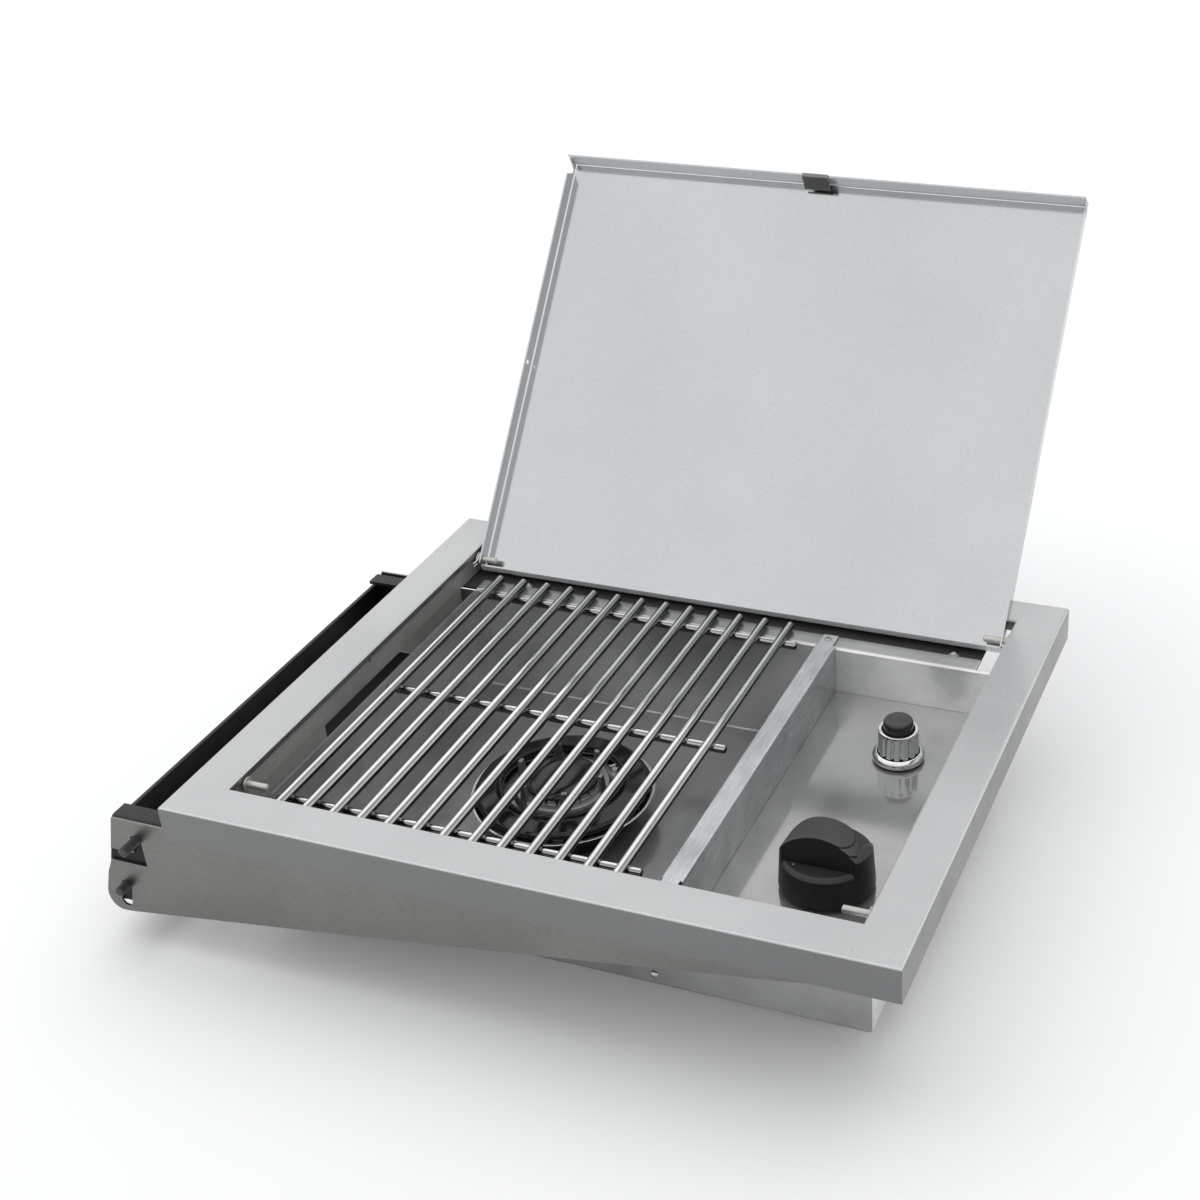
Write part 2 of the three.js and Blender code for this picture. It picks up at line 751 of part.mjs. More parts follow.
// Burner box: one sheet folded into front rim, front wall, floor, rear wall and rear rim, with end walls
function burnerBox() {
  const profile = folded([
    [box_inner_y1 + rim_width, rim_z], [box_inner_y1, rim_z], [box_inner_y1, box_floor_z],
    [box_inner_y0, box_floor_z], [box_inner_y0, rim_z], [box_inner_y0 - rim_width, rim_z],
  ], [rim_nose, box_bend, box_bend, rim_nose], box_sheet, 1);
  const bottom = box_floor_z - box_sheet;
  const half_sheet = box_sheet / 2;
  const trough = prismX(profile, box_x0, box_x1);
  const walls = [box_x0, box_inner_x1].map((x) => block(x, x + box_sheet, box_inner_y0 - half_sheet,
    box_inner_y1 + half_sheet, bottom + half_sheet, rim_z - rim_nose));
  const left_top = block(box_x0, box_inner_x0, box_inner_y0 + rim_nose, box_inner_y1 - rim_nose,
    rim_z - rim_nose - sunk, rim_z);
  const envelope = prismY([
    [box_x0 + box_corner, bottom - sunk], [box_x1 - box_corner, bottom - sunk],
    [box_x1, bottom + box_corner],
    [box_x1, rim_z + overrun], [box_x0, rim_z + overrun], [box_x0, bottom + box_corner],
  ], box_y0 - rim_width - overrun, box_y1 + rim_width + overrun);
  const rim_sides = [[box_y1, box_y1 + rim_width + overrun], [box_y0 - rim_width - overrun, box_y0]];
  const rim_ends = rim_sides.map(([a, b]) => block(rim_x1, box_x1 + overrun, a, b,
    rim_z - rim_nose - overrun, rim_z + overrun));
  const floor_holes = [
    block(floor_hole_x0, floor_hole_x1, floor_hole_y0, floor_hole_y1, bottom - overrun,
      box_floor_z + overrun),
    rodZ(burner_x, burner_y, bottom - overrun, box_floor_z + overrun, jet_hole_radius),
    rodZ(electrode_x, electrode_y, bottom - overrun, box_floor_z + overrun, lead_hole_radius,
      small_segments),
  ];
  return cut(join(trough, walls, left_top).intersect(envelope), rim_ends, floor_holes);
}

// Support rails: flat strips under the rims with an upstand at the frame's flange
function rail(rim_side) {
  const inner = rim_side > 0 ? box_y1 + rim_nose : box_y0 - rim_nose;
  const outer = rim_side > 0 ? frame_depth - frame_sheet - gap : rail_front_y0;
  const y0 = Math.min(inner, outer);
  const y1 = Math.max(inner, outer);
  const strip = block(rail_x0, rim_x1, y0, y1, rail_z - rail_sheet, rail_z);
  const up0 = rim_side > 0 ? y1 - rail_sheet : y0;
  const upstand = block(rail_upstand_x0, rim_x1, up0, up0 + rail_sheet, rail_z - rail_sheet,
    rail_z + rail_upstand);
  return strip.add(upstand);
}

// Wing: a sheet with a hook slot and a lower slot for the bolts of the bracket
function wing(y, top_profile) {
  const at = ([along, down]) => [wing_left_x - along * wing_height, wing_top_z - down * wing_height];
  const length = wing_tip_x - wing_left_x;
  const edge = wing_edge_shares.map(([along, down]) => [
    wing_left_x + along * length, wing_top_z - down * wing_height,
  ]);
  const outline = [[wing_left_x, wing_top_z], ...wing_end_shares.map(at), ...edge, ...top_profile];
  const sheet = prismY(outline, y, y + wing_sheet);
  const y0 = y - overrun;
  const y1 = y + wing_sheet + overrun;
  const [upper_x, upper_z] = at(upper_bolt_shares);
  const slot_z1 = wing_top_z - hook_slot_shares[0] * wing_height;
  const slot_z0 = wing_top_z - hook_slot_shares[1] * wing_height;
  const hook = block(wing_left_x - wing_height / 2, upper_x + bolt_slot_radius, y0, y1, slot_z0, slot_z1);
  const pocket = block(upper_x - bolt_slot_radius, upper_x + bolt_slot_radius, y0, y1, slot_z1 - sunk,
    upper_z);
  const pocket_end = rodY(upper_x, y0, y1, upper_z, bolt_slot_radius);
  const slot_ends = [at(lower_bolt_shares), at(lower_slot_end_shares)];
  const slot_rounds = slot_ends.map(([x, z]) => rodY(x, y0, y1, z, bolt_slot_radius));
  const [[x_a, z_a], [x_b, z_b]] = slot_ends;
  const side = new THREE.Vector2(z_a - z_b, x_b - x_a).normalize().multiplyScalar(bolt_slot_radius);
  const slot = prismY([
    [x_a + side.x, z_a + side.y], [x_b + side.x, z_b + side.y],
    [x_b - side.x, z_b - side.y], [x_a - side.x, z_a - side.y],
  ], y0, y1);
  return cut(sheet, hook, pocket, pocket_end, slot_rounds, slot);
}

function frontWing() {
  return wing(wing_front_y, [[wing_tip_x, wing_top_z]]);
}

function rearWing() {
  const under_rail = rail_z - rail_sheet - gap;
  return wing(wing_rear_y, [
    [wing_tip_x, under_rail], [wing_rear_step_x, under_rail], [wing_rear_step_x, wing_top_z],
  ]);
}

// Mounting bracket: a slanted web between two flanged ears that are bolted inside the wings
function mountingBracket() {
  const top = [bracket_top_x, bracket_top_z];
  const bottom = [bracket_bottom_x, bracket_bottom_z];
  const slant = (bracket_top_x - bracket_bottom_x) / (bracket_top_z - bracket_bottom_z);
  const web_shift = bracket_sheet * Math.hypot(1, slant);
  const web = prismY([top, bottom, [bottom[0] + web_shift, bottom[1]], [top[0] + web_shift, top[1]]],
    bracket_y0, bracket_y1);
  const at = ([along, down]) => [wing_left_x - along * wing_height, wing_top_z - down * wing_height];
  const plate_top = ear_top_z - bracket_bend;
  const ear_x0 = bracket_top_x + slant * (plate_top - bracket_top_z);
  const [elbow, low_corner] = ear_shares.map(at);
  const ear = [[ear_x0, plate_top], bottom, low_corner, elbow, [ear_x1, elbow[1] / 2 + plate_top / 2],
    [ear_x1, plate_top]];
  const bolts = [upper_bolt_shares, lower_bolt_shares].map(at);
  const ears = [[bracket_y0, 1], [bracket_y1, -1]].map(([y, inward]) => {
    const y_a = Math.min(y, y + inward * bracket_sheet);
    const flange = folded([[y, plate_top - sunk], [y, ear_top_z],
      [y + inward * bracket_flange, ear_top_z]],
      [bracket_bend], bracket_sheet, -inward);
    const plate = prismY(ear, y_a, y_a + bracket_sheet).add(prismX(flange, ear_x0, ear_x1));
    return cut(plate, bolts.map(([x, z]) => rodY(x, y_a - overrun, y_a + bracket_sheet + overrun, z,
      bolt_radius + gap, small_segments)));
  });
  return join(web, ears);
}

function bracketBolt(shares, out, outward) {
  const x = wing_left_x - shares[0] * wing_height;
  const z = wing_top_z - shares[1] * wing_height;
  const face = outward > 0 ? bracket_y1 : bracket_y0;
  const inside = face - outward * (bracket_sheet + gap);
  const tip = (outward > 0 ? wing_rear_y + wing_sheet : wing_front_y) + outward * out;
  const shank = roundedEnds(vector(x, inside, z), vector(x, tip, z), bolt_radius, bar_chamfer);
  const head = rod(vector(x, inside - outward * bolt_head_thick, z), vector(x, inside, z),
    bolt_head_radius, hex_sides);
  return join(shank, head);
}

// Divider channel with end tabs on the rims and feet on the end walls
function dividerChannel() {
  const y0 = box_inner_y0 + gap;
  const y1 = box_inner_y1 - gap;
  const bottom = box_floor_z + gap;
  const profile = folded([
    [divider_x0, bottom], [divider_x0, divider_top_z], [divider_x1, divider_top_z],
    [divider_x1, control_z + gap],
  ], [divider_bend, divider_bend], divider_sheet, -1);
  const channel = prismY(profile, y0, y1);
  const tab = block(divider_x0 + divider_tab_inset, divider_x1 - divider_tab_inset,
    box_inner_y0 - divider_tab_end,
    box_inner_y1 + divider_tab_end, divider_top_z - divider_sheet, divider_top_z);
  const feet = [y0, y1 - divider_sheet].map((y) => block(divider_x0 - divider_foot,
    divider_x0 + divider_sheet / 2,
    y, y + divider_sheet, bottom + box_bend, bottom + divider_foot_height));
  const corners = [[y0 - overrun, y0 + box_bend], [y1 - box_bend, y1 + overrun]].map(([a, b]) => block(
    divider_x0 - overrun, divider_x0 + divider_sheet + overrun, a, b, bottom - overrun,
      bottom + box_bend));
  return cut(join(channel, tab, feet), corners);
}

function controlPanel() {
  const y0 = box_inner_y0 + gap;
  const y1 = box_inner_y1 - gap;
  const bottom = control_z - control_flange;
  const profile = folded([
    [control_x0, bottom], [control_x0, control_z], [control_x1, control_z], [control_x1, bottom],
  ], [divider_bend, divider_bend], box_sheet, -1);
  const valve_hole = rodZ(knob_x, knob_y, bottom, control_z + overrun, valve_neck_radius + gap);
  const igniter_hole = rodZ(igniter_x, igniter_y, bottom, control_z + overrun,
    barrel_radius + barrel_taper + gap);
  return cut(prismY(profile, y0, y1), valve_hole, igniter_hole);
}

// Grate: bars along Y welded onto cross rods along X
function cookingGrate() {
  const parts = [];
  for (let i = 0; i < bar_count; i += 1) {
    const x = bar_first_x + i * bar_pitch;
    parts.push(roundedEnds(vector(x, box_mid_y - bar_half_length, bar_z),
      vector(x, box_mid_y + bar_half_length, bar_z), bar_radius, bar_chamfer));
  }
  for (const side of [-1, 0, 1]) {
    const y = box_mid_y + side * cross_half_span;
    parts.push(roundedEnds(vector(cross_x0, y, cross_z), vector(cross_x1, y, cross_z), cross_radius,
      bar_chamfer));
  }
  return join(parts);
}

function around(count, make) {
  const parts = [];
  for (let i = 0; i < count; i += 1) {
    parts.push(make(i * 2 * Math.PI / count, i));
  }
  return parts;
}

function turnedAt(part, angle) {
  return part.rotate([0, 0, THREE.MathUtils.radToDeg(angle)]).translate([burner_x, burner_y, 0]);
}

function burnerBowl() {
  const foot = box_floor_z + gap;
  const rim_inner = bowl_rim_radius - 3 * bowl_sheet;
  return turned([
    [bowl_rim_radius, bowl_rim_z], [bowl_waist_radius, bowl_waist_z], [bowl_foot_radius, foot],
    [bowl_foot_radius - bowl_sheet, foot], [bowl_waist_radius - bowl_sheet, bowl_waist_z],
    [rim_inner, bowl_rim_z], [rim_inner, bowl_rim_z + bowl_sheet],
    [bowl_rim_radius, bowl_rim_z + bowl_sheet], [bowl_rim_radius, bowl_rim_z],
  ], burner_x, burner_y);
}

function trimRing() {
  const edge = ring_outer - ring_sheet;
  const bead_z = ring_z + ring_sheet;
  return turned([
    [ring_inner, ring_z], [ring_inner, bead_z + ring_bead],
    [ring_inner + ring_bead / 2, bead_z + 2 * ring_bead],
    [ring_inner + 1.5 * ring_bead, bead_z + 2 * ring_bead],
    [ring_inner + 2 * ring_bead, bead_z + ring_bead],
    [ring_inner + 2 * ring_bead, bead_z], [edge, ring_z + ring_sheet / 2],
    [ring_outer, ring_z - ring_sheet / 2],
    [ring_outer, ring_z - ring_edge_drop], [edge, ring_z - ring_edge_drop], [edge, ring_z - ring_sheet],
    [ring_inner, ring_z],
  ], burner_x, burner_y);
}

// Burner base: a cup with air windows, a throat above the jet and a flange with arms for the ring
function burnerBase() {
  const bottom = box_floor_z + gap;
  const under = base_flange_z - base_flange_thick;
  const cup = turned([
    [0, bottom], [base_chamber_radius, bottom], [base_chamber_radius, under], [base_flange_radius, under],
    [base_flange_radius, base_flange_z], [0, base_flange_z],
  ], burner_x, burner_y);
  const inside = base_chamber_radius - base_wall;
  const upper = rodZ(burner_x, burner_y, throat_top_z, base_flange_z + overrun, inside);
  const lower = rodZ(burner_x, burner_y, bottom - overrun, throat_bottom_z, inside);
  const throat = rodZ(burner_x, burner_y, bottom, base_flange_z, throat_radius);
  const windows = around(window_count, (angle) => turnedAt(block(0, base_flange_radius, -window_width / 2,
    window_width / 2, bottom + sunk, throat_bottom_z), angle));
  const arms = around(ring_support_count, (angle) => turnedAt(block(base_flange_radius - sunk,
    ring_support_reach,
    -ring_support_width / 2, ring_support_width / 2, under, base_flange_z), angle + quarter / 4));
  const electrode_hole = rodZ(electrode_x, electrode_y, bottom, base_flange_z + overrun,
    ceramic_radius + gap,
    small_segments);
  return cut(join(cup, arms), upper, lower, throat, windows, electrode_hole);
}

// Burner head: stepped body with ports and upright prongs
function burnerHead() {
  const body = turned([
    [0, head_bottom_z], [head_radius + head_flare, head_bottom_z], [head_radius, head_shoulder_z],
    [head_step_radius, head_shoulder_z], [head_step_radius, head_top_z], [0, head_top_z],
  ], burner_x, burner_y);
  const cavity = rodZ(burner_x, burner_y, head_bottom_z - overrun, head_top_z - head_roof,
    head_step_radius - head_wall);
  const ports = around(port_count, (angle) => turnedAt(block(head_step_radius - overrun,
    head_step_radius + overrun,
    -port_width / 2, port_width / 2, head_top_z - port_height, head_top_z + overrun), angle));
  const prongs = around(prong_count, (angle) => {
    const base_z = head_bottom_z + sunk;
    const half = prong_base_width / 2;
    const tip = prong_top_width / 2;
    const face = prismX([[-half, base_z], [half, base_z], [tip, prong_top_z], [-tip, prong_top_z]],
      prong_radius - prong_thick / 2, prong_radius + prong_thick / 2);
    return turnedAt(face, angle);
  });
  return join(cut(body, cavity, ports), prongs);
}

function burnerCap() {
  const bottom = head_top_z + gap;
  return turned([
    [0, bottom], [cap_radius - cap_edge, bottom], [cap_radius, bottom + cap_edge / 2],
    [cap_radius, cap_top_z - cap_edge], [cap_radius - cap_edge / 2, cap_top_z - cap_edge / 4],
    [cap_radius - 1.5 * cap_edge, cap_top_z], [0, cap_top_z],
  ], burner_x, burner_y);
}

// Jet holder, jet and feed pipe
function pipePath() {
  const path = new THREE.CurvePath();
  const corners = [
    vector(outlet_x + socket_depth, knob_y, outlet_z), vector(pipe_drop_x, knob_y, outlet_z),
    vector(pipe_drop_x, knob_y, pipe_z), vector(pipe_turn_x, knob_y, pipe_z),
    vector(pipe_turn_x, burner_y, pipe_z), vector(burner_x + holder_radius - socket_depth + gap,
    burner_y, pipe_z),
  ];
  const bends = [pipe_bend, pipe_bend, pipe_sweep, pipe_sweep];
  let from = corners[0];
  for (let i = 1; i < corners.length - 1; i += 1) {
    const corner = corners[i];
    const before = corner.clone().sub(corners[i - 1]).setLength(bends[i - 1]);
    const after = corners[i + 1].clone().sub(corner).setLength(bends[i - 1]);
    const start = corner.clone().sub(before);
    const end = corner.clone().add(after);
    path.add(new THREE.LineCurve3(from, start));
    path.add(new THREE.QuadraticBezierCurve3(start, corner, end));
    from = end;
  }
  path.add(new THREE.LineCurve3(from, corners[corners.length - 1]));
  return path;
}

function feedPipe() {
  const outside = tube(pipePath(), pipe_radius, pipe_steps, pipe_sides);
  return cut(outside, tube(pipePath(), pipe_bore, pipe_steps, bore_sides));
}

function jetHolder() {
  const under_flange = holder_top_z - holder_flange_thick;
  const body = turned([
    [0, holder_bottom_z], [holder_radius, holder_bottom_z], [holder_radius, under_flange],
    [holder_flange_radius, under_flange], [holder_flange_radius, holder_top_z], [0, holder_top_z],
  ], burner_x, burner_y, round_segments);
  const side_x = burner_x + holder_radius;
  const pipe_socket = rodX(side_x - socket_depth, side_x + overrun, burner_y, pipe_z, pipe_radius + gap);
  const side_way = rodX(burner_x, side_x, burner_y, pipe_z, pipe_bore, small_segments);
  const jet_socket = rodZ(burner_x, burner_y, holder_top_z - socket_depth, holder_top_z + overrun,
    jet_radius + gap);
  const up_way = rodZ(burner_x, burner_y, pipe_z, holder_top_z, pipe_bore, small_segments);
  return cut(body, pipe_socket, side_way, jet_socket, up_way);
}

function gasJet() {
  const low = holder_top_z - socket_depth + gap;
  const body = rodZ(burner_x, burner_y, low, jet_top_z, jet_radius, small_segments);
  const hex = rodZ(burner_x, burner_y, holder_top_z + gap, holder_top_z + gap + jet_hex_height,
    jet_hex_radius, hex_sides);
  const bore = rodZ(burner_x, burner_y, low - overrun, jet_top_z + overrun, jet_bore, wire_sides);
  return cut(body.add(hex), bore);
}

// Gas valve below the control panel
function valveBody() {
  const body = rodZ(knob_x, knob_y, valve_bottom_z, under_panel_z, valve_radius);
  const flange_z = under_panel_z - valve_flange_thick;
  const flange = turned([
    [0, flange_z], [valve_flange_radius, flange_z], [valve_flange_radius, under_panel_z],
    [0, under_panel_z],
  ], knob_x, knob_y, round_segments);
  const neck = rodZ(knob_x, knob_y, under_panel_z - sunk, valve_neck_top_z, valve_neck_radius);
  const outlet = rodX(outlet_x, knob_x, knob_y, outlet_z, outlet_radius);
  const outlet_socket = rodX(outlet_x - overrun, outlet_x + socket_depth + gap, knob_y, outlet_z,
    pipe_radius + gap);
  const gas_way = rodX(outlet_x, knob_x, knob_y, outlet_z, pipe_bore);
  const seat_bore = rodZ(knob_x, knob_y, valve_seat_bore_z, valve_neck_top_z + overrun, valve_seat_bore);
  const stem_bore = rodZ(knob_x, knob_y, stem_bottom_z - push_travel - stem_play, 0, stem_radius + gap);
  const inlet_way = rodZ(knob_x, knob_y, valve_bottom_z - overrun, outlet_z, inlet_bore);
  const inlet_socket = rodZ(knob_x, knob_y, valve_bottom_z - overrun, valve_bottom_z + socket_depth,
    inlet_thread_radius + gap);
  return cut(join(body, flange, neck, outlet), outlet_socket, gas_way, seat_bore, stem_bore, inlet_way,
    inlet_socket);
}

function inletFitting() {
  const top = valve_bottom_z + socket_depth - gap;
  const thread_in = rodZ(knob_x, knob_y, inlet_hex_z0, top, inlet_thread_radius);
  const hex = rodZ(knob_x, knob_y, inlet_hex_z0, valve_bottom_z - gap, inlet_hex_radius, hex_sides);
  const thread_out = rodZ(knob_x, knob_y, inlet_end_z, inlet_hex_z0 + sunk, inlet_thread_radius);
  const bore = rodZ(knob_x, knob_y, inlet_end_z - overrun, top + overrun, inlet_bore);
  return cut(join(thread_in, hex, thread_out), bore);
}

function valveStem() {
  const shaft = rodZ(knob_x, knob_y, stem_bottom_z, stem_top_z, stem_radius);
  const flat = block(knob_x - 2 * stem_radius, knob_x + 2 * stem_radius, knob_y + stem_radius - stem_flat,
    knob_y + stem_radius + overrun, knob_boss_z, stem_top_z + overrun);
  return cut(shaft, flat);
}

function springSeat() {
  const ring = rodZ(knob_x, knob_y, seat_ring_z0, seat_ring_z1, seat_ring_outer);
  return cut(ring, rodZ(knob_x, knob_y, seat_ring_z0 - overrun, seat_ring_z1 + overrun,
    stem_radius + gap));
}

// Knob: skirted body, a shelf in front of an upright wall, and a hump that slopes to the back with steps
function controlKnob() {
  const draft = (knob_skirt_radius - knob_top_radius) / (knob_top_z - knob_bottom_z);
  const radiusAt = (z) => knob_skirt_radius - draft * (z - knob_bottom_z);
  const chamfer_z = knob_shelf_z - knob_chamfer_drop;
  const lower = turned([
    [0, knob_bottom_z], [knob_skirt_radius, knob_bottom_z], [radiusAt(chamfer_z), chamfer_z],
    [radiusAt(chamfer_z) - knob_chamfer_inset, knob_shelf_z], [0, knob_shelf_z],
  ], knob_x, knob_y);
  const column = turned([
    [0, chamfer_z], [radiusAt(chamfer_z), chamfer_z], [knob_top_radius, knob_top_z], [0, knob_top_z],
  ], knob_x, knob_y);
  const wall_y = knob_y - knob_wall_offset;
  const far = 2 * knob_skirt_radius;
  const y_start = wall_y - knob_skirt_radius;
  const y_end = knob_y + far;
  const back = block(knob_x - far, knob_x + far, wall_y, y_end, knob_bottom_z, 0);
  const slope = knob_back_drop / (knob_wall_offset + knob_top_radius);
  const centre_x = knob_x + knob_hump_shift;
  const ridgeZ = (y) => knob_top_z - knob_hump_radius - slope * (y - wall_y);
  const hump = rod(vector(centre_x, y_start, ridgeZ(y_start)), vector(centre_x, y_end, ridgeZ(y_end)),
    knob_hump_radius, fine_segments);
  const low = block(knob_x - far, knob_x + far, wall_y, y_end, knob_bottom_z, knob_rim_z);
  const raised = column.intersect(back).intersect(hump.add(low));
  const steps = around(knob_step_count, (angle, i) => {
    const reach = knob_x + knob_step_first + i * knob_step_pitch;
    const lowered = hump.translate([0, 0, -knob_step_drop * (i + 1)]).add(low);
    const outside = cut(block(knob_x, knob_x + far, wall_y - sunk, y_end, knob_rim_z, 0),
      rodZ(reach - knob_step_arc, knob_y - knob_step_back, knob_bottom_z, overrun, knob_step_arc,
        fine_segments));
    return cut(outside, lowered);
  });
  const hollow = rodZ(knob_x, knob_y, knob_bottom_z - overrun, knob_hollow_top_z, knob_hollow_radius);
  const boss = rodZ(knob_x, knob_y, knob_boss_z, knob_hollow_top_z + sunk, knob_boss_radius);
  const flat_y = knob_y + stem_radius + gap - stem_flat;
  const socket = cut(rodZ(knob_x, knob_y, knob_boss_z - overrun, stem_top_z + gap, stem_radius + gap),
    block(knob_x - far, knob_x + far, flat_y, knob_y + far, knob_boss_z - 2 * overrun, 0));
  const dot = rodZ(knob_x + knob_dot_x, knob_y + knob_dot_y, knob_shelf_z - knob_dot_depth,
    knob_shelf_z + overrun,
    knob_dot_radius, small_segments);
  return cut(cut(join(lower, cut(raised, steps)), hollow).add(boss), socket, dot);
}

// Igniter: body below the panel, gasket, chrome bezel, fluted barrel and button
function igniterBody() {
  const body = rodZ(igniter_x, igniter_y, igniter_body_bottom_z, under_panel_z, igniter_body_radius);
  const bore = rodZ(igniter_x, igniter_y, barrel_bottom_z - gap, under_panel_z + overrun,
    barrel_radius + barrel_taper + gap);
  const plunger_bore = rodZ(igniter_x, igniter_y, igniter_body_bottom_z + igniter_body_floor,
    under_panel_z,
    barrel_bore);
  const side_x = igniter_x - igniter_body_radius;
  const terminal = rodX(side_x - terminal_length, side_x + 2 * sunk, igniter_y,
    igniter_body_bottom_z + terminal_height, terminal_radius, small_segments);
  return cut(body, bore, plunger_bore).add(terminal);
}

function igniterBezel() {
  const bottom = control_z + 2 * gap + gasket_height;
  const top = bottom + bezel_height;
  const inner = barrel_radius + barrel_taper + gap;
  return turned([
    [inner, bottom], [bezel_radius, bottom], [bezel_radius, top - bezel_dish / 2],
    [bezel_radius - bezel_dish / 2, top], [inner, top - bezel_dish], [inner, bottom],
  ], igniter_x, igniter_y);
}

function igniterGasket() {
  const bottom = control_z + gap;
  const inner = barrel_radius + barrel_taper + gap;
  const outer = bezel_radius - gap;
  return turned([
    [inner, bottom], [outer, bottom], [outer, bottom + gasket_height], [inner, bottom + gasket_height],
    [inner, bottom],
  ], igniter_x, igniter_y);
}

function igniterBarrel() {
  const low_radius = barrel_radius + barrel_taper;
  const tube_body = turned([
    [barrel_bore, barrel_bottom_z], [low_radius, barrel_bottom_z], [low_radius, control_z],
    [barrel_radius, barrel_top_z - barrel_edge], [barrel_radius - barrel_edge / 2, barrel_top_z],
    [barrel_bore, barrel_top_z], [barrel_bore, barrel_bottom_z],
  ], igniter_x, igniter_y);
  const flutes = around(barrel_flutes, (angle) => block(barrel_radius + gap - flute_depth,
    barrel_radius + overrun,
    -flute_width / 2, flute_width / 2, control_z + gap, flute_top_z)
    .rotate([0, 0, THREE.MathUtils.radToDeg(angle)]).translate([igniter_x, igniter_y, 0]));
  return cut(tube_body, flutes);
}

function igniterButton() {
  return turned([
    [0, button_bottom_z], [button_radius, button_bottom_z], [button_radius, button_top_z - button_dome],
    [button_radius - button_edge, button_top_z - button_dome / 2],
    [button_radius - button_crown, button_top_z - gap], [0, button_top_z],
  ], igniter_x, igniter_y);
}

// Electrode: ceramic rod with a bent metal tip, as one node
function ignitionElectrode() {
  const rod_body = rodZ(electrode_x, electrode_y, ceramic_bottom_z, ceramic_top_z, ceramic_radius,
    small_segments);
  const collar_z = base_flange_z + gap;
  const collar = rodZ(electrode_x, electrode_y, collar_z, collar_z + ceramic_collar_height,
    ceramic_radius + ceramic_collar, small_segments);
  const tip_base = rodZ(electrode_x, electrode_y, ceramic_top_z - sunk, tip_top_z, tip_radius,
    wire_sides);
  const inward = vector(-Math.cos(electrode_angle), -Math.sin(electrode_angle), 0);
  const from = vector(electrode_x, electrode_y, tip_top_z - tip_radius);
  const tip = rod(from, from.clone().addScaledVector(inward, tip_reach), tip_radius, wire_sides);
  return join(rod_body, collar, tip_base, tip);
}

function igniterLead() {
  const end_x = igniter_x - igniter_body_radius - terminal_length - 2 * gap;
  const end_z = igniter_body_bottom_z + terminal_height;
  const rise_x = floor_hole_x0 + lead_bend;
  const points = [
    vector(electrode_x, electrode_y, ceramic_bottom_z - gap),
    vector(electrode_x, electrode_y, box_floor_z - box_sheet),
    vector(electrode_x + lead_bend, electrode_y + lead_bend, lead_z),
    vector((electrode_x + floor_hole_x0) / 2, (electrode_y + igniter_y) / 2, lead_z),
    vector(floor_hole_x0 - lead_bend, igniter_y, lead_z),
    vector(rise_x, igniter_y, lead_z + sunk),
    vector(end_x - lead_bend / 2, igniter_y, end_z),
    vector(end_x, igniter_y, end_z),
  ];
  return tube(new THREE.CatmullRomCurve3(points, false, "centripetal"), lead_radius, lead_steps,
    bore_sides);
}

// Assembly
toMesh("top_frame", "stainless", topFrame());
toMesh("left_side_panel", "stainless", sidePanel(left_panel_x, -1));
toMesh("right_side_panel", "stainless", sidePanel(right_panel_x, 1));
toMesh("front_wing", "stainless", frontWing());
toMesh("rear_wing", "stainless", rearWing());
toMesh("mounting_bracket", "black_steel", mountingBracket());
for (const [end, outward] of [["front", -1], ["rear", 1]]) {
  toMesh(end + "_upper_bolt", "galvanised", bracketBolt(upper_bolt_shares, upper_bolt_out, outward));
  toMesh(end + "_lower_bolt", "galvanised", bracketBolt(lower_bolt_shares, lower_bolt_out, outward));
}
toMesh("front_rail", "black_steel", rail(-1));
toMesh("rear_rail", "black_steel", rail(1));
toMesh("burner_box", "polished", burnerBox());
toMesh("divider_channel", "galvanised", dividerChannel());
toMesh("control_panel", "polished", controlPanel());
for (const [name, y] of [["hinge_pin", hinge_y], ["rest_pin", rest_pin_y]]) {
  toMesh(name + "_left", "chrome", pin(left_panel_x, 1, left_pin_tip_x, y));
  toMesh(name + "_right", "chrome", pin(right_panel_x, -1, right_pin_tip_x, y));
}
toMesh("hairpin_clip", "chrome", hairpin(hairpin_x));
toMesh("lid_pan", "stainless", lidPan(), -lid_open);
toMesh("lid_tab", "stainless", lidTab(), -lid_open);
toMesh("cooking_grate", "chrome", cookingGrate());
toMesh("burner_bowl", "polished", burnerBowl());
toMesh("burner_base", "cast_aluminium", burnerBase());
toMesh("trim_ring", "enamel", trimRing());
toMesh("burner_head", "cast_aluminium", burnerHead());
toMesh("burner_cap", "enamel", burnerCap());
toMesh("jet_holder", "brass", jetHolder());
toMesh("gas_jet", "brass", gasJet());
toMesh("gas_feed_pipe", "pipe_aluminium", feedPipe());
toMesh("gas_valve_body", "brass", valveBody());
toMesh("gas_inlet_fitting", "brass", inletFitting());
toMesh("valve_spring_seat", "brass", springSeat());
toMesh("valve_stem", "brass", valveStem());
toMesh("control_knob", "black_plastic", controlKnob());
toMesh("igniter_body", "black_plastic", igniterBody());
toMesh("igniter_gasket", "black_plastic", igniterGasket());
toMesh("igniter_bezel", "chrome", igniterBezel());
toMesh("igniter_barrel", "chrome", igniterBarrel());
toMesh("igniter_button", "black_plastic", igniterButton());
toMesh("ignition_electrode", "ceramic", ignitionElectrode());
toMesh("igniter_lead", "lead_cover", igniterLead());

// Origin at the middle of the bracket's outer face
const face_x = (bracket_top_x + bracket_bottom_x) / 2;
const face_y = (bracket_y0 + bracket_y1) / 2;
const face_z = (bracket_top_z + bracket_bottom_z) / 2;
group.children.forEach((child) => child.geometry.translate(-face_x, -face_y, -face_z));

export default group;
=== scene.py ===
# Looks of the built-in side burner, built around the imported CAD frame.
# Lengths named here are millimetres in the top frame's own coordinates: X right, Y back, Z up,
# zero at its outer front left top corner. at() turns them into metres in the row frame.
import json
import math

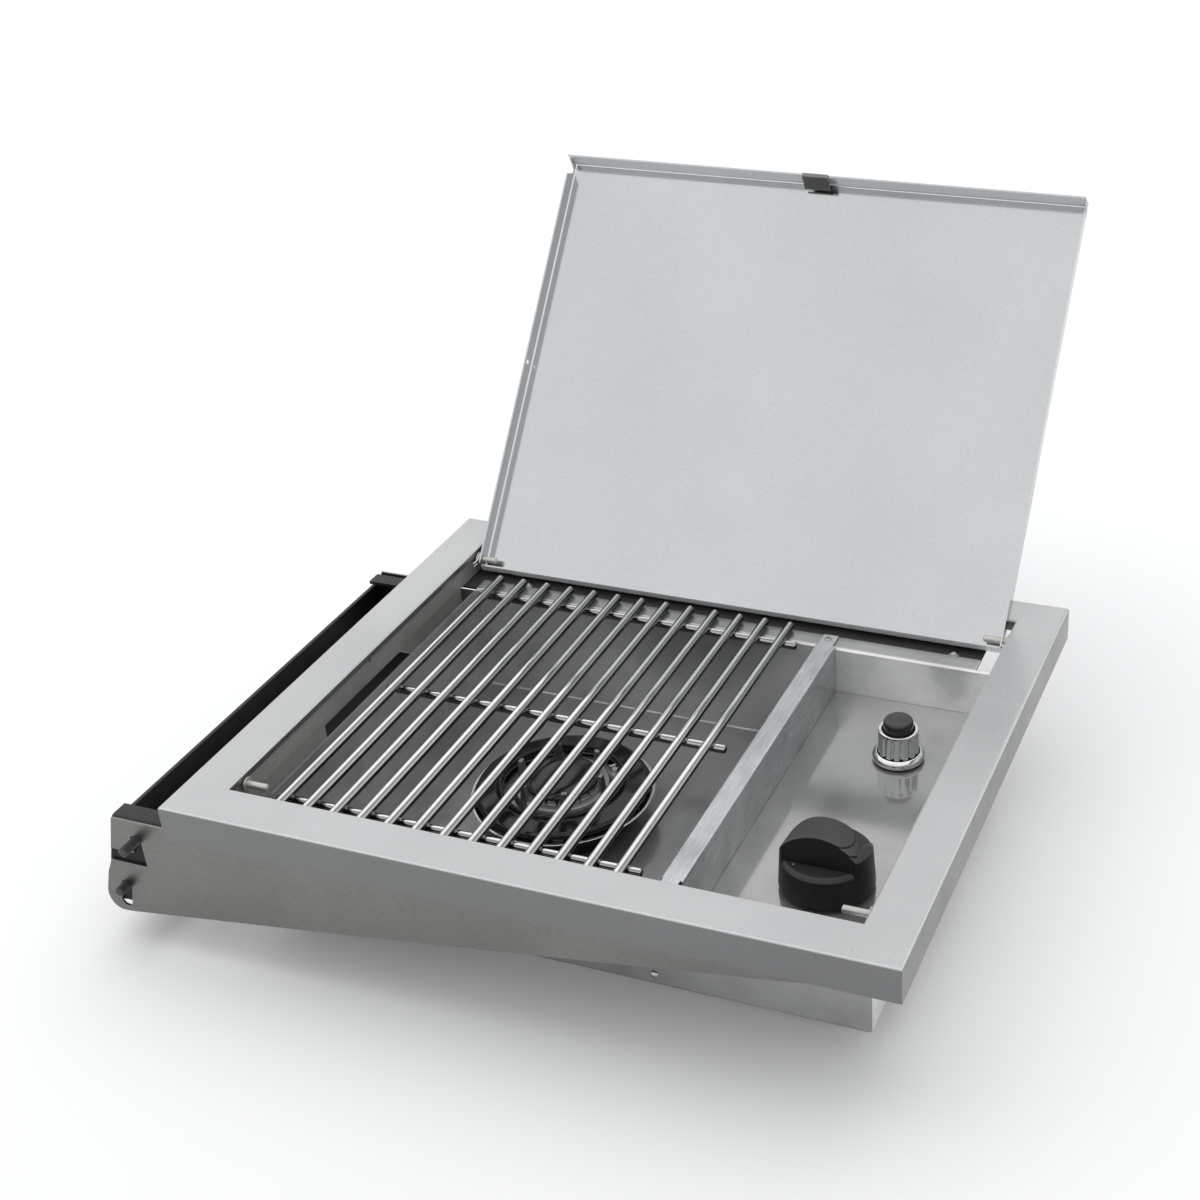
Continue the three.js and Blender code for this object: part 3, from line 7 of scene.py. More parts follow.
import bpy
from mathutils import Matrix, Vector


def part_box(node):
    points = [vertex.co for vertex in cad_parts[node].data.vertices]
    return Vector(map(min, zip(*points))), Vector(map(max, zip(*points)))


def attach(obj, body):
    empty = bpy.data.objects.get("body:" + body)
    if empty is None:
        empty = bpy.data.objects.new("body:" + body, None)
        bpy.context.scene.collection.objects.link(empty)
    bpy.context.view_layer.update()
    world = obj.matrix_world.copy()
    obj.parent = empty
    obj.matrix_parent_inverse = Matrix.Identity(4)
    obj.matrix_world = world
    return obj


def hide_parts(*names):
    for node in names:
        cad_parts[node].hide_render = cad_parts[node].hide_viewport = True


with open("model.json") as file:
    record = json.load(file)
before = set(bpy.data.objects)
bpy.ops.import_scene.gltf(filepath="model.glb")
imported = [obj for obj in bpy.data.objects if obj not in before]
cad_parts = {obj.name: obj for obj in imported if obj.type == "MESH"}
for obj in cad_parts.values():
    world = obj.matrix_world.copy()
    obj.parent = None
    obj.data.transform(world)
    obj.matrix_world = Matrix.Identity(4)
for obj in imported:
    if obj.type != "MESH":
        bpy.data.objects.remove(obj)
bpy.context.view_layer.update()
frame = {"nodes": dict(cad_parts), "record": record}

MM = 0.001
FACE = Vector((-43.5, 139.25, -47.5))
FLOOR_Z = -100.2
TURN = 2 * math.pi


def at(x, y, z):
    return (Vector((x, y, z)) - FACE) * MM


# Camera, from the fitted view of the photograph
PHOTO = 1200
FOCAL = 1856.657
CENTRE = (789.523, 650.759)
CAMERA_PLACE = (0.629395, -0.743431, 0.607199)
CAMERA_TURN = (58.25436, 1.788704, 20.091753)
SENSOR = 36


def make_camera():
    data = bpy.data.cameras.new("camera")
    data.sensor_width = SENSOR
    data.lens = FOCAL / PHOTO * SENSOR
    data.shift_x = -(CENTRE[0] - PHOTO / 2) / PHOTO
    data.shift_y = (CENTRE[1] - PHOTO / 2) / PHOTO
    data.clip_start = 0.01
    data.clip_end = 100
    camera = bpy.data.objects.new("camera", data)
    camera.location = CAMERA_PLACE
    camera.rotation_euler = [math.radians(a) for a in CAMERA_TURN]
    bpy.context.scene.collection.objects.link(camera)
    bpy.context.scene.camera = camera


# Node helpers. A Mix node's colour sockets share their names with its others, so they go by number.
MIX_COLOUR_A, MIX_COLOUR_B, MIX_COLOUR_OUT = 6, 7, 2


class Nodes:
    def __init__(self, tree):
        self.tree = tree
        tree.nodes.clear()

    def add(self, kind, **values):
        node = self.tree.nodes.new(kind)
        for name, value in values.items():
            setattr(node, name, value)
        return node

    def link(self, a, b):
        self.tree.links.new(a, b)

    def put(self, socket, value):
        if isinstance(value, bpy.types.NodeSocket):
            self.link(value, socket)
        else:
            socket.default_value = value

    def math(self, operation, a, b):
        node = self.add("ShaderNodeMath", operation=operation)
        self.put(node.inputs[0], a)
        self.put(node.inputs[1], b)
        return node.outputs[0]

    def place(self, scale=(1, 1, 1)):
        where = self.add("ShaderNodeTexCoord").outputs["Object"]
        node = self.add("ShaderNodeMapping")
        self.link(where, node.inputs["Vector"])
        node.inputs["Scale"].default_value = scale
        return node.outputs[0]

    def noise(self, scale, stretch=(1, 1, 1), detail=3.0, roughness=0.55):
        node = self.add("ShaderNodeTexNoise")
        self.link(self.place(stretch), node.inputs["Vector"])
        node.inputs["Scale"].default_value = scale
        node.inputs["Detail"].default_value = detail
        node.inputs["Roughness"].default_value = roughness
        return node.outputs["Fac"]

    def range(self, value, low, high, to_low, to_high):
        node = self.add("ShaderNodeMapRange")
        self.put(node.inputs["Value"], value)
        for name, number in (("From Min", low), ("From Max", high), ("To Min", to_low), ("To Max", to_high)):
            node.inputs[name].default_value = number
        return node.outputs[0]

    def painted_light_by_facing(self, stops):
        """Painted light and shade: a grey by how far the surface faces up in the part's own frame, from (z of
        its normal, grey) stops.
        """
        split = self.add("ShaderNodeSeparateXYZ")
        self.link(self.add("ShaderNodeTexCoord").outputs["Normal"], split.inputs[0])
        ramp = self.add("ShaderNodeValToRGB")
        self.link(self.range(split.outputs["Z"], -1, 1, 0, 1), ramp.inputs[0])
        top = max(grey for _, grey in stops)
        places = ramp.color_ramp.elements
        places[-1].position = 1.0
        for z, _ in stops[1:-1]:
            places.new((z + 1) / 2)
        for place, (z, grey) in zip(places, stops):
            place.position = (z + 1) / 2
            place.color = (grey / top, grey / top, grey / top, 1)
        return self.mix(1.0, ramp.outputs[0], (top, top, top, 1), "MULTIPLY")

    def mix(self, factor, a, b, blend="MIX"):
        node = self.add("ShaderNodeMix", data_type="RGBA", blend_type=blend)
        self.put(node.inputs[0], factor)
        self.put(node.inputs[MIX_COLOUR_A], a)
        self.put(node.inputs[MIX_COLOUR_B], b)
        return node.outputs[MIX_COLOUR_OUT]

    def bump(self, height, distance):
        node = self.add("ShaderNodeBump")
        self.put(node.inputs["Height"], height)
        node.inputs["Distance"].default_value = distance
        return node.outputs[0]

    def seen_directly(self):
        """1 for the rays that see the surroundings themselves, 0 for the ones that only light by them."""
        path = self.add("ShaderNodeLightPath").outputs
        mirrored = self.math("MAXIMUM", path["Is Camera Ray"], path["Is Glossy Ray"])
        return self.math("MAXIMUM", mirrored, path["Is Transmission Ray"])


def rgb(*values):
    return (*values, 1.0)


def surface(name, metallic=0.0):
    made = bpy.data.materials.new(name)
    made.use_nodes = True
    nodes = Nodes(made.node_tree)
    out = nodes.add("ShaderNodeOutputMaterial")
    shader = nodes.add("ShaderNodeBsdfPrincipled")
    shader.inputs["Metallic"].default_value = metallic
    nodes.link(shader.outputs[0], out.inputs["Surface"])
    return made, nodes, shader


# Painted light and shade by facing: greys by how far a face looks up, as (z of its normal, grey) stops; faces
# turn lighter or darker by the way they face, with painted highlights on bends and on the tops of round bars
FOLDED = ((-1, 0.33), (-0.2, 0.34), (0.18, 0.37), (0.36, 0.85), (0.75, 1.35), (0.94, 1.0), (1, 1.0))
MILD = ((-1, 0.62), (-0.2, 0.66), (0.12, 0.70), (0.32, 1.0), (0.8, 1.25), (0.94, 1.0), (1, 1.0))
ROUND = ((-1, 0.2), (0.1, 0.22), (0.38, 0.36), (0.52, 0.64), (0.66, 0.66), (0.80, 0.34), (0.91, 0.44),
         (0.955, 1.2), (1, 1.35))
LID = ((-1, 1.25), (-0.7, 1.0), (-0.47, 1.6), (-0.2, 0.85), (0.0, 0.80), (0.3, 1.3), (0.6, 1.0), (1, 1.0))
# Metallic by facing on the lid: lower where it faces down, so those faces take more diffuse light and render
# lighter
LID_METALLIC = ((-1, 0.3), (-0.3, 0.3), (-0.1, 1), (1, 1))
WING = ((-1, 0.8), (0, 1.0), (0.5, 1.35), (1, 1.35))
BOX = ((-1, 0.7), (-0.15, 1.5), (0.2, 1.55), (0.5, 1.6), (0.96, 1.0), (1, 0.72))
POLISHED = ((-1, 0.7), (-0.1, 1.3), (0.15, 1.35), (0.6, 1.3), (0.96, 0.9), (1, 0.86))
BOWL = ((-1, 0.3), (-0.2, 0.5), (0.3, 0.7), (0.8, 1.0), (0.95, 1.5), (1, 1.5))
CHROME = ((-1, 0.2), (-0.2, 0.35), (0.0, 0.62), (0.25, 0.8), (0.5, 0.45), (0.75, 1.1), (1, 1.2))
BLACK_STEEL = ((-1, 0.8), (0.1, 0.9), (0.4, 1.2), (0.8, 2.6), (1, 3.2))
BLACK_PLASTIC = ((-1, 0.7), (-0.2, 0.8), (0.34, 0.9), (0.55, 4.2), (0.8, 3.9), (0.97, 2.6), (1, 1.9))
BUTTON = ((-1, 0.7), (0.3, 0.9), (0.7, 3.0), (0.95, 3.4), (1, 3.0))

# Painted shade and light set by place on the burner box: where each starts and ends, and its factor
FRONT_WALL_Y, FRONT_WALL_PAINTED_SHADE = (42.8, 43.2), 0.47
LEFT_WALL_X, LEFT_WALL_PAINTED_SHADE = (34.6, 35.2), 0.5
UNDER_RIM_Z = (-16.4, -16)
RIGHT_END_X, RIGHT_END_PAINTED_LIGHT = (258, 276), 1.25

# Sheet metal: range of its tone, and of its stains with their darkness
TONE_RANGE = (0.36, 0.64)
STAIN_RANGE = (0.50, 0.68)
STAIN_SHADE = 0.55


def box_shade(n):
    """Painted shade and light on the burner box by place: darker front and left walls, lighter right end."""
    place = n.add("ShaderNodeSeparateXYZ")
    n.link(n.place(), place.inputs[0])
    y0, y1 = (at(0, y, 0).y for y in FRONT_WALL_Y)
    front = n.range(place.outputs["Y"], y0, y1, FRONT_WALL_PAINTED_SHADE, 1)
    x0, x1 = (at(x, 0, 0).x for x in LEFT_WALL_X)
    z0, z1 = (at(0, 0, z).z for z in UNDER_RIM_Z)
    left = n.math("MAXIMUM", n.range(place.outputs["X"], x0, x1, LEFT_WALL_PAINTED_SHADE, 1),
                  n.range(place.outputs["Z"], z0, z1, 0, 1))
    x0, x1 = (at(x, 0, 0).x for x in RIGHT_END_X)
    right = n.range(place.outputs["X"], x0, x1, 1, RIGHT_END_PAINTED_LIGHT)
    shade = n.math("MULTIPLY", n.math("MULTIPLY", front, left), right)
    tint = n.add("ShaderNodeCombineXYZ")
    for socket in tint.inputs:
        n.link(shade, socket)
    return tint.outputs[0]


def sheet_metal(name, low, high, roughness, grain=(1, 1, 1), cloud=0.5, bump=6e-6, marks=0.0, painted_light_by_facing=None,
                cloud_size=9, grain_size=420, painted_box_shade=False, metallic=1.0, metallic_facing=None):
    """Sheet metal: cloudy tone, fine grain marks, uneven gloss, painted light and shade by facing, and on the
    burner box painted shade and light by place.
    """
    made, n, shader = surface(name, metallic)
    clouds = n.noise(cloud_size, detail=4)
    fine = n.noise(grain_size, grain, detail=4, roughness=0.7)
    tone = n.math("ADD", n.math("MULTIPLY", clouds, cloud), n.math("MULTIPLY", fine, 1 - cloud))
    colour = n.mix(n.range(tone, *TONE_RANGE, 0, 1), rgb(*low), rgb(*high))
    if marks:
        stains = n.range(n.noise(34, detail=5, roughness=0.62), *STAIN_RANGE, 0, marks)
        colour = n.mix(stains, colour, rgb(*[v * STAIN_SHADE for v in low]))
    # Painted light and shade by facing
    if painted_light_by_facing:
        colour = n.mix(1.0, colour, n.painted_light_by_facing(painted_light_by_facing), "MULTIPLY")
    # Painted shade and light on the burner box by place
    if painted_box_shade:
        colour = n.mix(1.0, colour, box_shade(n), "MULTIPLY")
    n.link(colour, shader.inputs["Base Color"])
    if metallic_facing:
        n.link(n.painted_light_by_facing(metallic_facing), shader.inputs["Metallic"])
    smudge = n.noise(26, detail=5, roughness=0.6)
    n.link(n.range(smudge, 0.3, 0.7, *roughness), shader.inputs["Roughness"])
    n.link(n.bump(fine, bump), shader.inputs["Normal"])
    return made


def painted(name, colour, roughness, bump, specular, painted_light_by_facing=None):
    """Paint, plastic, enamel or glaze: a slightly uneven colour over a fine texture, with painted light and
    shade by facing where stops are given.
    """
    made, n, shader = surface(name)
    fine = n.noise(900, detail=3)
    tint = n.mix(n.noise(30, detail=4), rgb(*[v * 0.8 for v in colour]), rgb(*[v * 1.25 for v in colour]))
    # Painted light and shade by facing
    if painted_light_by_facing:
        tint = n.mix(1.0, tint, n.painted_light_by_facing(painted_light_by_facing), "MULTIPLY")
    n.link(tint, shader.inputs["Base Color"])
    n.link(n.range(n.noise(60, detail=4), 0.3, 0.7, *roughness), shader.inputs["Roughness"])
    n.link(n.bump(fine, bump), shader.inputs["Normal"])
    shader.inputs["Specular IOR Level"].default_value = specular
    return made


def make_materials():
    """Each material by its key: sheet metal as (name, low and high colour, roughness), then paint."""
    return {
        "stainless": sheet_metal(
            "satin_stainless", (0.49, 0.5, 0.505), (0.58, 0.59, 0.595), (0.2, 0.3),
            grain=(0.7, 1.3, 1.3), painted_light_by_facing=FOLDED, bump=2e-6, grain_size=760, metallic=0.65),
        "inner": sheet_metal(
            "inner_panel", (0.33, 0.325, 0.31), (0.50, 0.495, 0.47), (0.28, 0.42),
            grain=(1, 0.6, 1), bump=2e-6, marks=0.35, cloud_size=18, cloud=0.75, metallic=0.4),
        "lid": sheet_metal(
            "satin_lid", (0.555, 0.57, 0.58), (0.63, 0.648, 0.66), (0.10, 0.16),
            grain=(0.6, 1.3, 1.3), painted_light_by_facing=LID, cloud=0.4, bump=1e-6, grain_size=760,
            metallic_facing=LID_METALLIC),
        # Dark grey for the wings and the lid's tab, partly painted shade on their upright faces
        "wing": sheet_metal(
            "dark_wing_stainless", (0.17, 0.172, 0.162), (0.225, 0.227, 0.212), (0.30, 0.42),
            grain=(0.7, 1, 1), cloud=0.6, painted_light_by_facing=WING),
        "box": sheet_metal(
            "bright_box", (0.42, 0.425, 0.42), (0.52, 0.525, 0.52), (0.17, 0.26),
            grain=(1.6, 0.3, 0.6), bump=2e-7, marks=0.3, cloud_size=22, painted_box_shade=True, cloud=0.85,
            metallic=0.6, painted_light_by_facing=BOX),
        "polished": sheet_metal(
            "bright_stainless", (0.46, 0.465, 0.46), (0.55, 0.555, 0.55), (0.07, 0.12),
            grain=(1.6, 0.3, 0.6), bump=3e-7, marks=0.16, cloud=0.8, metallic=0.7, painted_light_by_facing=POLISHED),
        "galvanised": sheet_metal(
            "zinc_coat", (0.40, 0.415, 0.43), (0.66, 0.68, 0.70), (0.2, 0.34),
            grain=(2.2, 0.12, 1), cloud=0.55, bump=2e-6, painted_light_by_facing=MILD, cloud_size=34, metallic=0.7),
        "bowl": sheet_metal(
            "bowl_steel", (0.34, 0.345, 0.345), (0.46, 0.465, 0.465), (0.10, 0.2), bump=2e-6, painted_light_by_facing=BOWL),
        "pin": sheet_metal(
            "dull_pin", (0.50, 0.49, 0.46), (0.62, 0.61, 0.58), (0.3, 0.42), bump=1e-6, metallic=0.6),
        "screw": sheet_metal(
            "plated_screw", (0.36, 0.36, 0.355), (0.48, 0.48, 0.475), (0.18, 0.3), bump=2e-6),
        "bolt": sheet_metal("dark_bolt", (0.05, 0.05, 0.052), (0.10, 0.10, 0.105), (0.3, 0.42)),
        "rod": sheet_metal(
            "polished_rod", (0.60, 0.605, 0.605), (0.72, 0.725, 0.73), (0.07, 0.15), bump=5e-7, painted_light_by_facing=ROUND),
        "chrome": sheet_metal(
            "bright_chrome", (0.72, 0.73, 0.74), (0.80, 0.81, 0.82), (0.03, 0.07), bump=2e-7, painted_light_by_facing=CHROME),
        "cast_aluminium": sheet_metal(
            "cast_aluminium", (0.34, 0.34, 0.34), (0.50, 0.50, 0.50), (0.35, 0.5), bump=5e-5, cloud_size=40),
        "pipe_aluminium": sheet_metal(
            "drawn_aluminium", (0.62, 0.62, 0.62), (0.72, 0.72, 0.72), (0.25, 0.36), bump=4e-6),
        "brass": sheet_metal("brass", (0.52, 0.37, 0.15), (0.62, 0.46, 0.21), (0.2, 0.34), bump=4e-6),
        "black_steel": painted(
            "black_paint", (0.012, 0.012, 0.0125), (0.38, 0.52), 1.4e-5, 0.18, BLACK_STEEL),
        "black_plastic": painted(
            "fine_black_plastic", (0.014, 0.014, 0.0145), (0.34, 0.44), 1.2e-5, 0.24, BLACK_PLASTIC),
        "button": painted("glossy_button", (0.014, 0.014, 0.0145), (0.2, 0.3), 6e-6, 0.4, BUTTON),
        "enamel": painted("black_enamel", (0.008, 0.008, 0.0085), (0.07, 0.14), 3e-6, 0.5),
        "ceramic": painted("glazed_ceramic", (0.74, 0.72, 0.67), (0.2, 0.3), 3e-6, 0.5),
        "lead_cover": painted("lead_cover", (0.022, 0.022, 0.023), (0.45, 0.55), 8e-6, 0.4),
        "white_dot": painted("dot_paint", (0.36, 0.36, 0.35), (0.4, 0.5), 3e-6, 0.4),
    }


materials = make_materials()
# Nodes whose look differs from that of their material slot
NODE_MATERIALS = {"front_wing": "wing", "rear_wing": "wing", "lid_pan": "lid", "lid_tab": "wing",
                  "burner_box": "box", "left_side_panel": "inner", "right_side_panel": "inner"}
slots = {row["node"]: row["material_slot"] for row in frame["record"]["subparts"]}


SHARP_ANGLE = math.radians(38)
JOIN_DISTANCE = 2e-6


def smooth_group():
    """Smooth shading: equal points joined, edges over the angle kept sharp."""
    group = bpy.data.node_groups.new("smooth_sheet", "GeometryNodeTree")
    group.interface.new_socket("Geometry", in_out="INPUT", socket_type="NodeSocketGeometry")
    group.interface.new_socket("Geometry", in_out="OUTPUT", socket_type="NodeSocketGeometry")
    nodes = group.nodes
    start = nodes.new("NodeGroupInput")
    end = nodes.new("NodeGroupOutput")
    merge = nodes.new("GeometryNodeMergeByDistance")
    merge.inputs["Distance"].default_value = JOIN_DISTANCE
    faces = nodes.new("GeometryNodeSetShadeSmooth")
    edges = nodes.new("GeometryNodeSetShadeSmooth")
    edges.domain = "EDGE"
    edges.inputs["Shade Smooth"].default_value = False
    angle = nodes.new("GeometryNodeInputMeshEdgeAngle")
    over = nodes.new("FunctionNodeCompare")
    over.operation = "GREATER_THAN"
    over.inputs["B"].default_value = SHARP_ANGLE
    link = group.links.new
    link(start.outputs[0], merge.inputs["Geometry"])
    link(merge.outputs["Geometry"], faces.inputs["Geometry"])
    link(faces.outputs[0], edges.inputs["Geometry"])
    link(angle.outputs["Unsigned Angle"], over.inputs["A"])
    link(over.outputs[0], edges.inputs["Selection"])
    link(edges.outputs[0], end.inputs[0])
    return group


smooth_sheet = smooth_group()
# Cast nodes with softened edges, and the voxel size in mm that each is remeshed with
SOFTENED = {"burner_head": 0.42, "burner_base": 0.5}


def dress(thing, material, weighted=False):
    """Shading and material; weighted normals keep the large faces of folded sheet flat."""
    modifier = thing.modifiers.new("smooth", "NODES")
    modifier.node_group = smooth_sheet
    if weighted:
        level = thing.modifiers.new("level", "WEIGHTED_NORMAL")
        level.mode = "FACE_AREA_WITH_ANGLE"
        level.weight = 100
        level.keep_sharp = True
    thing.data.materials.clear()
    thing.data.materials.append(materials[material])


def soften(name, voxel):
    """Rounds the edges of a cast CAD node without changing its own mesh."""
    node = frame["nodes"][name]
    remesh = node.modifiers.new("even", "REMESH")
    remesh.mode = "VOXEL"
    remesh.voxel_size = voxel * MM
    remesh.use_smooth_shade = True
    ease = node.modifiers.new("ease", "SMOOTH")
    ease.factor = 0.5
    ease.iterations = 3


for name, node in frame["nodes"].items():
    if "custom_normal" in node.data.attributes:
        node.data.attributes.remove(node.data.attributes["custom_normal"])
    dress(node, NODE_MATERIALS.get(name, slots[name]), weighted=name not in SOFTENED)
for name, voxel in SOFTENED.items():
    soften(name, voxel)


# Mesh helpers: everything is gathered in millimetres and made into one object at the end
def corner(points, radius, steps=4):
    """The same outline with its inner points rounded by short curves."""
    out = [Vector(points[0])]
    for a, b, c in zip(points, points[1:], points[2:]):
        a, b, c = Vector(a), Vector(b), Vector(c)
        reach_in = min(radius, (a - b).length * 0.49)
        reach_out = min(radius, (c - b).length * 0.49)
        start = b + (a - b).normalized() * reach_in
        end = b + (c - b).normalized() * reach_out
        for s in range(steps + 1):
            t = s / steps
            out.append(start * (1 - t) ** 2 + b * 2 * t * (1 - t) + end * t * t)
    out.append(Vector(points[-1]))
    return out


class Gathered:
    def __init__(self):
        self.points = []
        self.faces = []

    def rings(self, rings, closed=False):
        """Joins rings of points; a ring of one point is a tip."""
        starts = []
        for ring in rings:
            starts.append(len(self.points))
            self.points += ring
        pairs = list(zip(range(len(rings)), range(1, len(rings))))
        if closed:
            pairs.append((len(rings) - 1, 0))
        for i, j in pairs:
            a, b, na, nb = starts[i], starts[j], len(rings[i]), len(rings[j])
            count = max(na, nb)
            if count == 1:
                continue
            for k in range(count):
                m = (k + 1) % count
                if na == 1:
                    self.faces.append((a, b + m, b + k))
                elif nb == 1:
                    self.faces.append((a + k, a + m, b))
                else:
                    self.faces.append((a + k, a + m, b + m, b + k))

    def turned(self, profile, origin, axis=(0, 0, 1), sides=64, closed=False, radius=None):
        """Turns (radius, along) points about an axis; radius(r, along, angle) may change them."""
        axis = Vector(axis).normalized()
        first = axis.orthogonal().normalized() if abs(axis.z) < 0.99 else Vector((1, 0, 0))
        second = axis.cross(first)
        origin = Vector(origin)
        rings = []
        for r, along in profile:
            if r < 1e-6:
                rings.append([origin + axis * along])
                continue
            ring = []
            for k in range(sides):
                angle = TURN * k / sides
                out = radius(r, along, angle) if radius else r
                outward = first * math.cos(angle) + second * math.sin(angle)
                ring.append(origin + axis * along + outward * out)
            rings.append(ring)
        self.rings(rings, closed)

    def rod(self, a, b, radius, end=0.8, sides=32):
        """A round bar with domed ends."""
        a, b = Vector(a), Vector(b)
        length = (b - a).length
        dome = [(radius * math.sin(math.pi / 2 * s / 5), end * (1 - math.cos(math.pi / 2 * s / 5)))
                for s in range(6)]
        profile = dome + [(r, length - t) for r, t in reversed(dome)]
        self.turned(profile, a, b - a, sides)

    def wire(self, path, radius, sides):
        """A round wire along points, with short pointed ends."""
        path = [Vector(p) for p in path]
        tangents = []
        for i in range(len(path)):
            tangents.append((path[min(i + 1, len(path) - 1)] - path[max(i - 1, 0)]).normalized())
        across = tangents[0].orthogonal().normalized()
        rings = []
        for p, t in zip(path, tangents):
            across = (across - t * across.dot(t)).normalized()
            other = t.cross(across)
            turns = [TURN * k / sides for k in range(sides)]
            rings.append([p + (across * math.cos(a) + other * math.sin(a)) * radius for a in turns])
        tips = [path[0] - tangents[0] * radius * 0.3], [path[-1] + tangents[-1] * radius * 0.3]
        self.rings([tips[0]] + rings + [tips[1]])

    def make(self, name, material, body="housing", replaces=()):
        mesh = bpy.data.meshes.new(name)
        mesh.from_pydata([at(*p) for p in self.points], [], self.faces)
        mesh.update()
        mesh.validate()
        piece = bpy.data.objects.new(name, mesh)
        bpy.context.scene.collection.objects.link(piece)
        dress(piece, material)
        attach(piece, body)
        if replaces:
            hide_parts(*replaces)


def curve_through(points, steps):
    """Points on a smooth curve through the given ones."""
    points = [Vector(p) for p in points]
    path = []
    for i in range(len(points) - 1):
        p0, p1, p2, p3 = points[max(i - 1, 0)], points[i], points[i + 1], points[min(i + 2, len(points) - 1)]
        for s in range(steps):
            t = s / steps
            path.append(0.5 * (2 * p1 + (p2 - p0) * t + (2 * p0 - 5 * p1 + 4 * p2 - p3) * t * t
                               + (3 * p1 - p0 - 3 * p2 + p3) * t ** 3))
    path.append(points[-1])
    return path


# Sizes shared with the CAD
MID_Y = 159
RIM_Z = -15.7
BAR_FIRST, BAR_PITCH, BAR_COUNT = 47.1, 16.2167, 13
BAR_R, CROSS_R = 2.75, 2.5
BAR_HALF = 127.6
CROSS_HALF = 112.7
CROSS_X = (38.9, 251.0)
BAR_Z = RIM_Z + 0.3 + BAR_R
CROSS_Z = BAR_Z - BAR_R - CROSS_R + 0.9
BURNER = (147, 159)
KNOB = (328.6, 100.7)
IGNITER = (330.2, 219.2)
PANEL_Z = -46
HINGE_Y, REST_Y, PIN_Z, PIN_R = 296.3, 39.5, -6.5, 2
# Of each side's pins: shank's outer and inner end, head, collar, and the way inward
PIN_SIDES = {"left": (24.8, 39.5, 22.7, 26.6, 1), "right": (374.7, 358.0, 376.8, 372.9, -1)}
BOLT_HEAD = 3.6
BOX_ENDS_Y = (42.5, 275.5)


def make_grate():
    grate = Gathered()
    bars = [BAR_FIRST + i * BAR_PITCH for i in range(BAR_COUNT)]
    for x in bars:
        grate.rod((x, MID_Y - BAR_HALF, BAR_Z), (x, MID_Y + BAR_HALF, BAR_Z), BAR_R, 0.9)
    for side in (-1, 0, 1):
        y = MID_Y + side * CROSS_HALF
        grate.rod((CROSS_X[0], y, CROSS_Z), (CROSS_X[1], y, CROSS_Z), CROSS_R, 1.1)
        for i, x in enumerate(bars):
            for flank in (-1, 1):
                bead = 1.15 + 0.12 * math.sin(7 * i + 3 * side + flank)
                centre = (x + flank * 1.9, y, (BAR_Z + CROSS_Z) / 2 - 0.5)
                bulge = [(bead * math.sin(math.pi * s / 6), -1.6 * math.cos(math.pi * s / 6))
                         for s in range(7)]
                grate.turned(bulge, centre, (0, 1, 0), 12)
    grate.make("grate_bars", "rod", replaces=["cooking_grate"])


def make_burner():
    x, y = BURNER
    ring = Gathered()
    top, bead = -62.3, -61.1
    outline = [(33.8, top - 0.2), (33.8, bead + 1.4), (34.7, bead + 2.75), (36.0, bead + 2.75),
               (36.9, bead + 1.4), (37.3, bead - 0.1), (48.2, top + 0.45), (49.8, top - 0.5),
               (49.95, top - 3.0), (48.8, top - 3.0), (48.6, top - 1.2), (34.0, top - 0.4)]
    curved = corner(outline + outline[1:2], 0.9, 4)
    ring.turned([(p[0], p[1]) for p in curved[1:-1]], (x, y, 0), sides=128, closed=True)
    ring.make("trim_ring_enamel", "enamel", replaces=["trim_ring"])

    cap = Gathered()
    outline = [(0, -56.2), (13, -56.25), (19.6, -56.6), (21.6, -57.6), (21.75, -58.9), (20.6, -59.25),
               (0, -59.25)]
    curved = corner(outline, 1.4, 5)
    cap.turned([(p[0], p[1]) for p in curved], (x, y, 0), sides=96)
    cap.make("burner_cap_enamel", "enamel", replaces=["burner_cap"])

    bowl = Gathered()
    outline = [(53.4, -66.75), (53.45, -66.1), (51.2, -66.1), (51.15, -66.85), (45.3, -72.0), (38.2, -85.15),
               (39.0, -85.15), (46.1, -72.0), (53.4, -66.75)]
    curved = corner(outline + outline[1:2], 0.8, 3)
    bowl.turned([(p[0], p[1]) for p in curved[1:-1]], (x, y, 0), sides=112, closed=True)
    bowl.make("bowl_pressing", "bowl", replaces=["burner_bowl"])

    studs = Gathered()
    for degrees in (-100, -92, -62, -54):
        angle = math.radians(degrees)
        place = (x + 49.0 * math.cos(angle), y + 49.0 * math.sin(angle), -69.6)
        studs.turned([(0, 2.6), (0.9, 2.5), (1.15, 2.0), (1.15, -1.6), (0.8, -2.2), (0, -2.3)], place,
                     sides=14)
    studs.make("ring_studs", "enamel")


